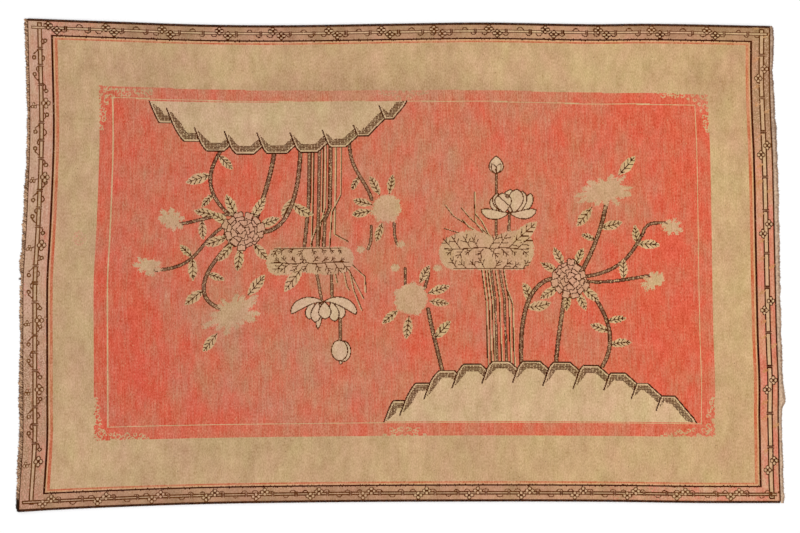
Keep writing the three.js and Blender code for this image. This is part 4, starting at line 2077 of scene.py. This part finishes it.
    @staticmethod
    def make_turn() -> tuple[np.ndarray, list[list[int]]]:
        """Models one turn of the plait, a curved blunt strand of half-sizes 1.

        Returns:
            Its points and faces.
        """
        bpy.ops.object.select_all(action="DESELECT")
        bpy.ops.mesh.primitive_uv_sphere_add(segments=10, ring_count=8, radius=1,
                                             rotation=(0, math.pi / 2, 0))
        turn = bpy.context.object
        bpy.ops.object.transform_apply(location=False, rotation=True, scale=False)
        points = np.array([v.co for v in turn.data.vertices])
        girth = np.maximum(np.hypot(points[:, 1], points[:, 2]), 1e-4)
        blunt = np.sqrt(np.maximum(0, 1 - points[:, 0] ** 4)) / girth
        points[:, 1:] *= np.minimum(blunt, 3.0)[:, None]
        points[:, 1] += 0.45 * (points[:, 0] ** 2 - 0.4)
        faces = sorted(list(face.vertices) for face in turn.data.polygons)
        bpy.data.objects.remove(turn, do_unlink=True)
        return points, faces

    def strand(self, y: float, edge: float, number: int) -> np.ndarray:
        """Works out one tapered strand that lies on the floor, as rings of points.

        Args:
            y: Its place along the end.
            edge: Where the strip ends there.
            number: Which strand it is.

        Returns:
            The rings' points.
        """
        rings, sides = 5, 5
        share = np.linspace(0, 1, rings)[:, None]
        length = 1.5 + 3.5 * vary(number, 7) ** 2
        lean = 7.0 * (vary(number, 11) - 0.5)
        curl = 3.0 * (vary(number, 13) - 0.5)
        radius = 0.62 - 0.36 * share
        turn = np.linspace(0, 2 * np.pi, sides, endpoint=False)[None, :]
        out = np.broadcast_to(edge - 3.0 + (length + 3.0) * share, (rings, sides))
        side = y + lean * share**1.5 + curl * np.sin(np.pi * share) + radius * np.cos(turn)
        up = radius + 0.7 * (1 - share) + radius * np.sin(turn)
        return np.stack([self.sign * out, side, up], 2)


@dataclass(frozen=True)
class Studio:
    """A pale floor, soft even light and a camera straight above, framed as the photograph is."""

    frame_width: float = 3.193
    lens: float = 85.0
    sensor: float = 36.0
    aim: Point = (-0.004, -0.0056)
    sky: float = 0.80
    sun: float = 0.95

    def build(self) -> None:
        """Makes the floor, the lights and the camera."""
        bpy.ops.object.select_all(action="DESELECT")
        bpy.ops.mesh.primitive_plane_add(size=30, location=(0, 0, 0))
        floor = bpy.context.object
        floor.name = "floor"
        graph = Graph("pale_floor")
        graph.shader.inputs["Base Color"].default_value = (0.985, 0.985, 0.985, 1)
        graph.shader.inputs["Roughness"].default_value = 0.8
        floor.data.materials.append(graph.material)
        world = bpy.data.worlds.new("soft_sky")
        world.use_nodes = True
        world.node_tree.nodes["Background"].inputs["Color"].default_value = (1, 1, 1, 1)
        world.node_tree.nodes["Background"].inputs["Strength"].default_value = self.sky
        bpy.context.scene.world = world
        bpy.ops.object.light_add(type="SUN", rotation=(math.radians(38), 0, math.radians(-35)))
        lamp = bpy.context.object
        lamp.data.energy = self.sun
        lamp.data.angle = math.radians(30)
        height = self.frame_width * self.lens / self.sensor
        bpy.ops.object.camera_add(location=(*self.aim, height), rotation=(0, 0, 0))
        camera = bpy.context.object
        camera.data.lens = self.lens
        camera.data.sensor_width = self.sensor
        camera.data.clip_end = 100
        bpy.context.scene.camera = camera
        bpy.context.scene.view_settings.view_transform = "Standard"


def main() -> None:
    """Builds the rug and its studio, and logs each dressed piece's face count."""
    logging.basicConfig(level=logging.INFO, format="%(name)s: %(message)s")
    Studio().build()
    pile = PileRug(RugOutline("rug_body")).build()
    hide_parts("rug_body")
    edging = []
    for name, knob in (("selvedge_upper", 0.0), ("selvedge_lower", 0.45)):
        edging.append(Selvedge(name, knob=knob).build())
        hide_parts(name)
    left = EndWeb("end_fringe_left", -1.0, LEFT_WEB_YARN, strands=110, trim=2.5, plait=7.0, tufts=(-55.0,))
    right = EndWeb("end_fringe_right", 1.0, RIGHT_WEB_YARN, strands=220, trim=6.5, dim=0.28)
    for web, slot in ((left, "web_left"), (right, "web_right")):
        edging.append(web.build())
        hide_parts(web.node)
    for piece in (pile, *edging):
        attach(piece, BODY)
        LOG.info("%s: %d faces", piece.name, len(piece.data.polygons))


if __name__ == "__main__":
    main()
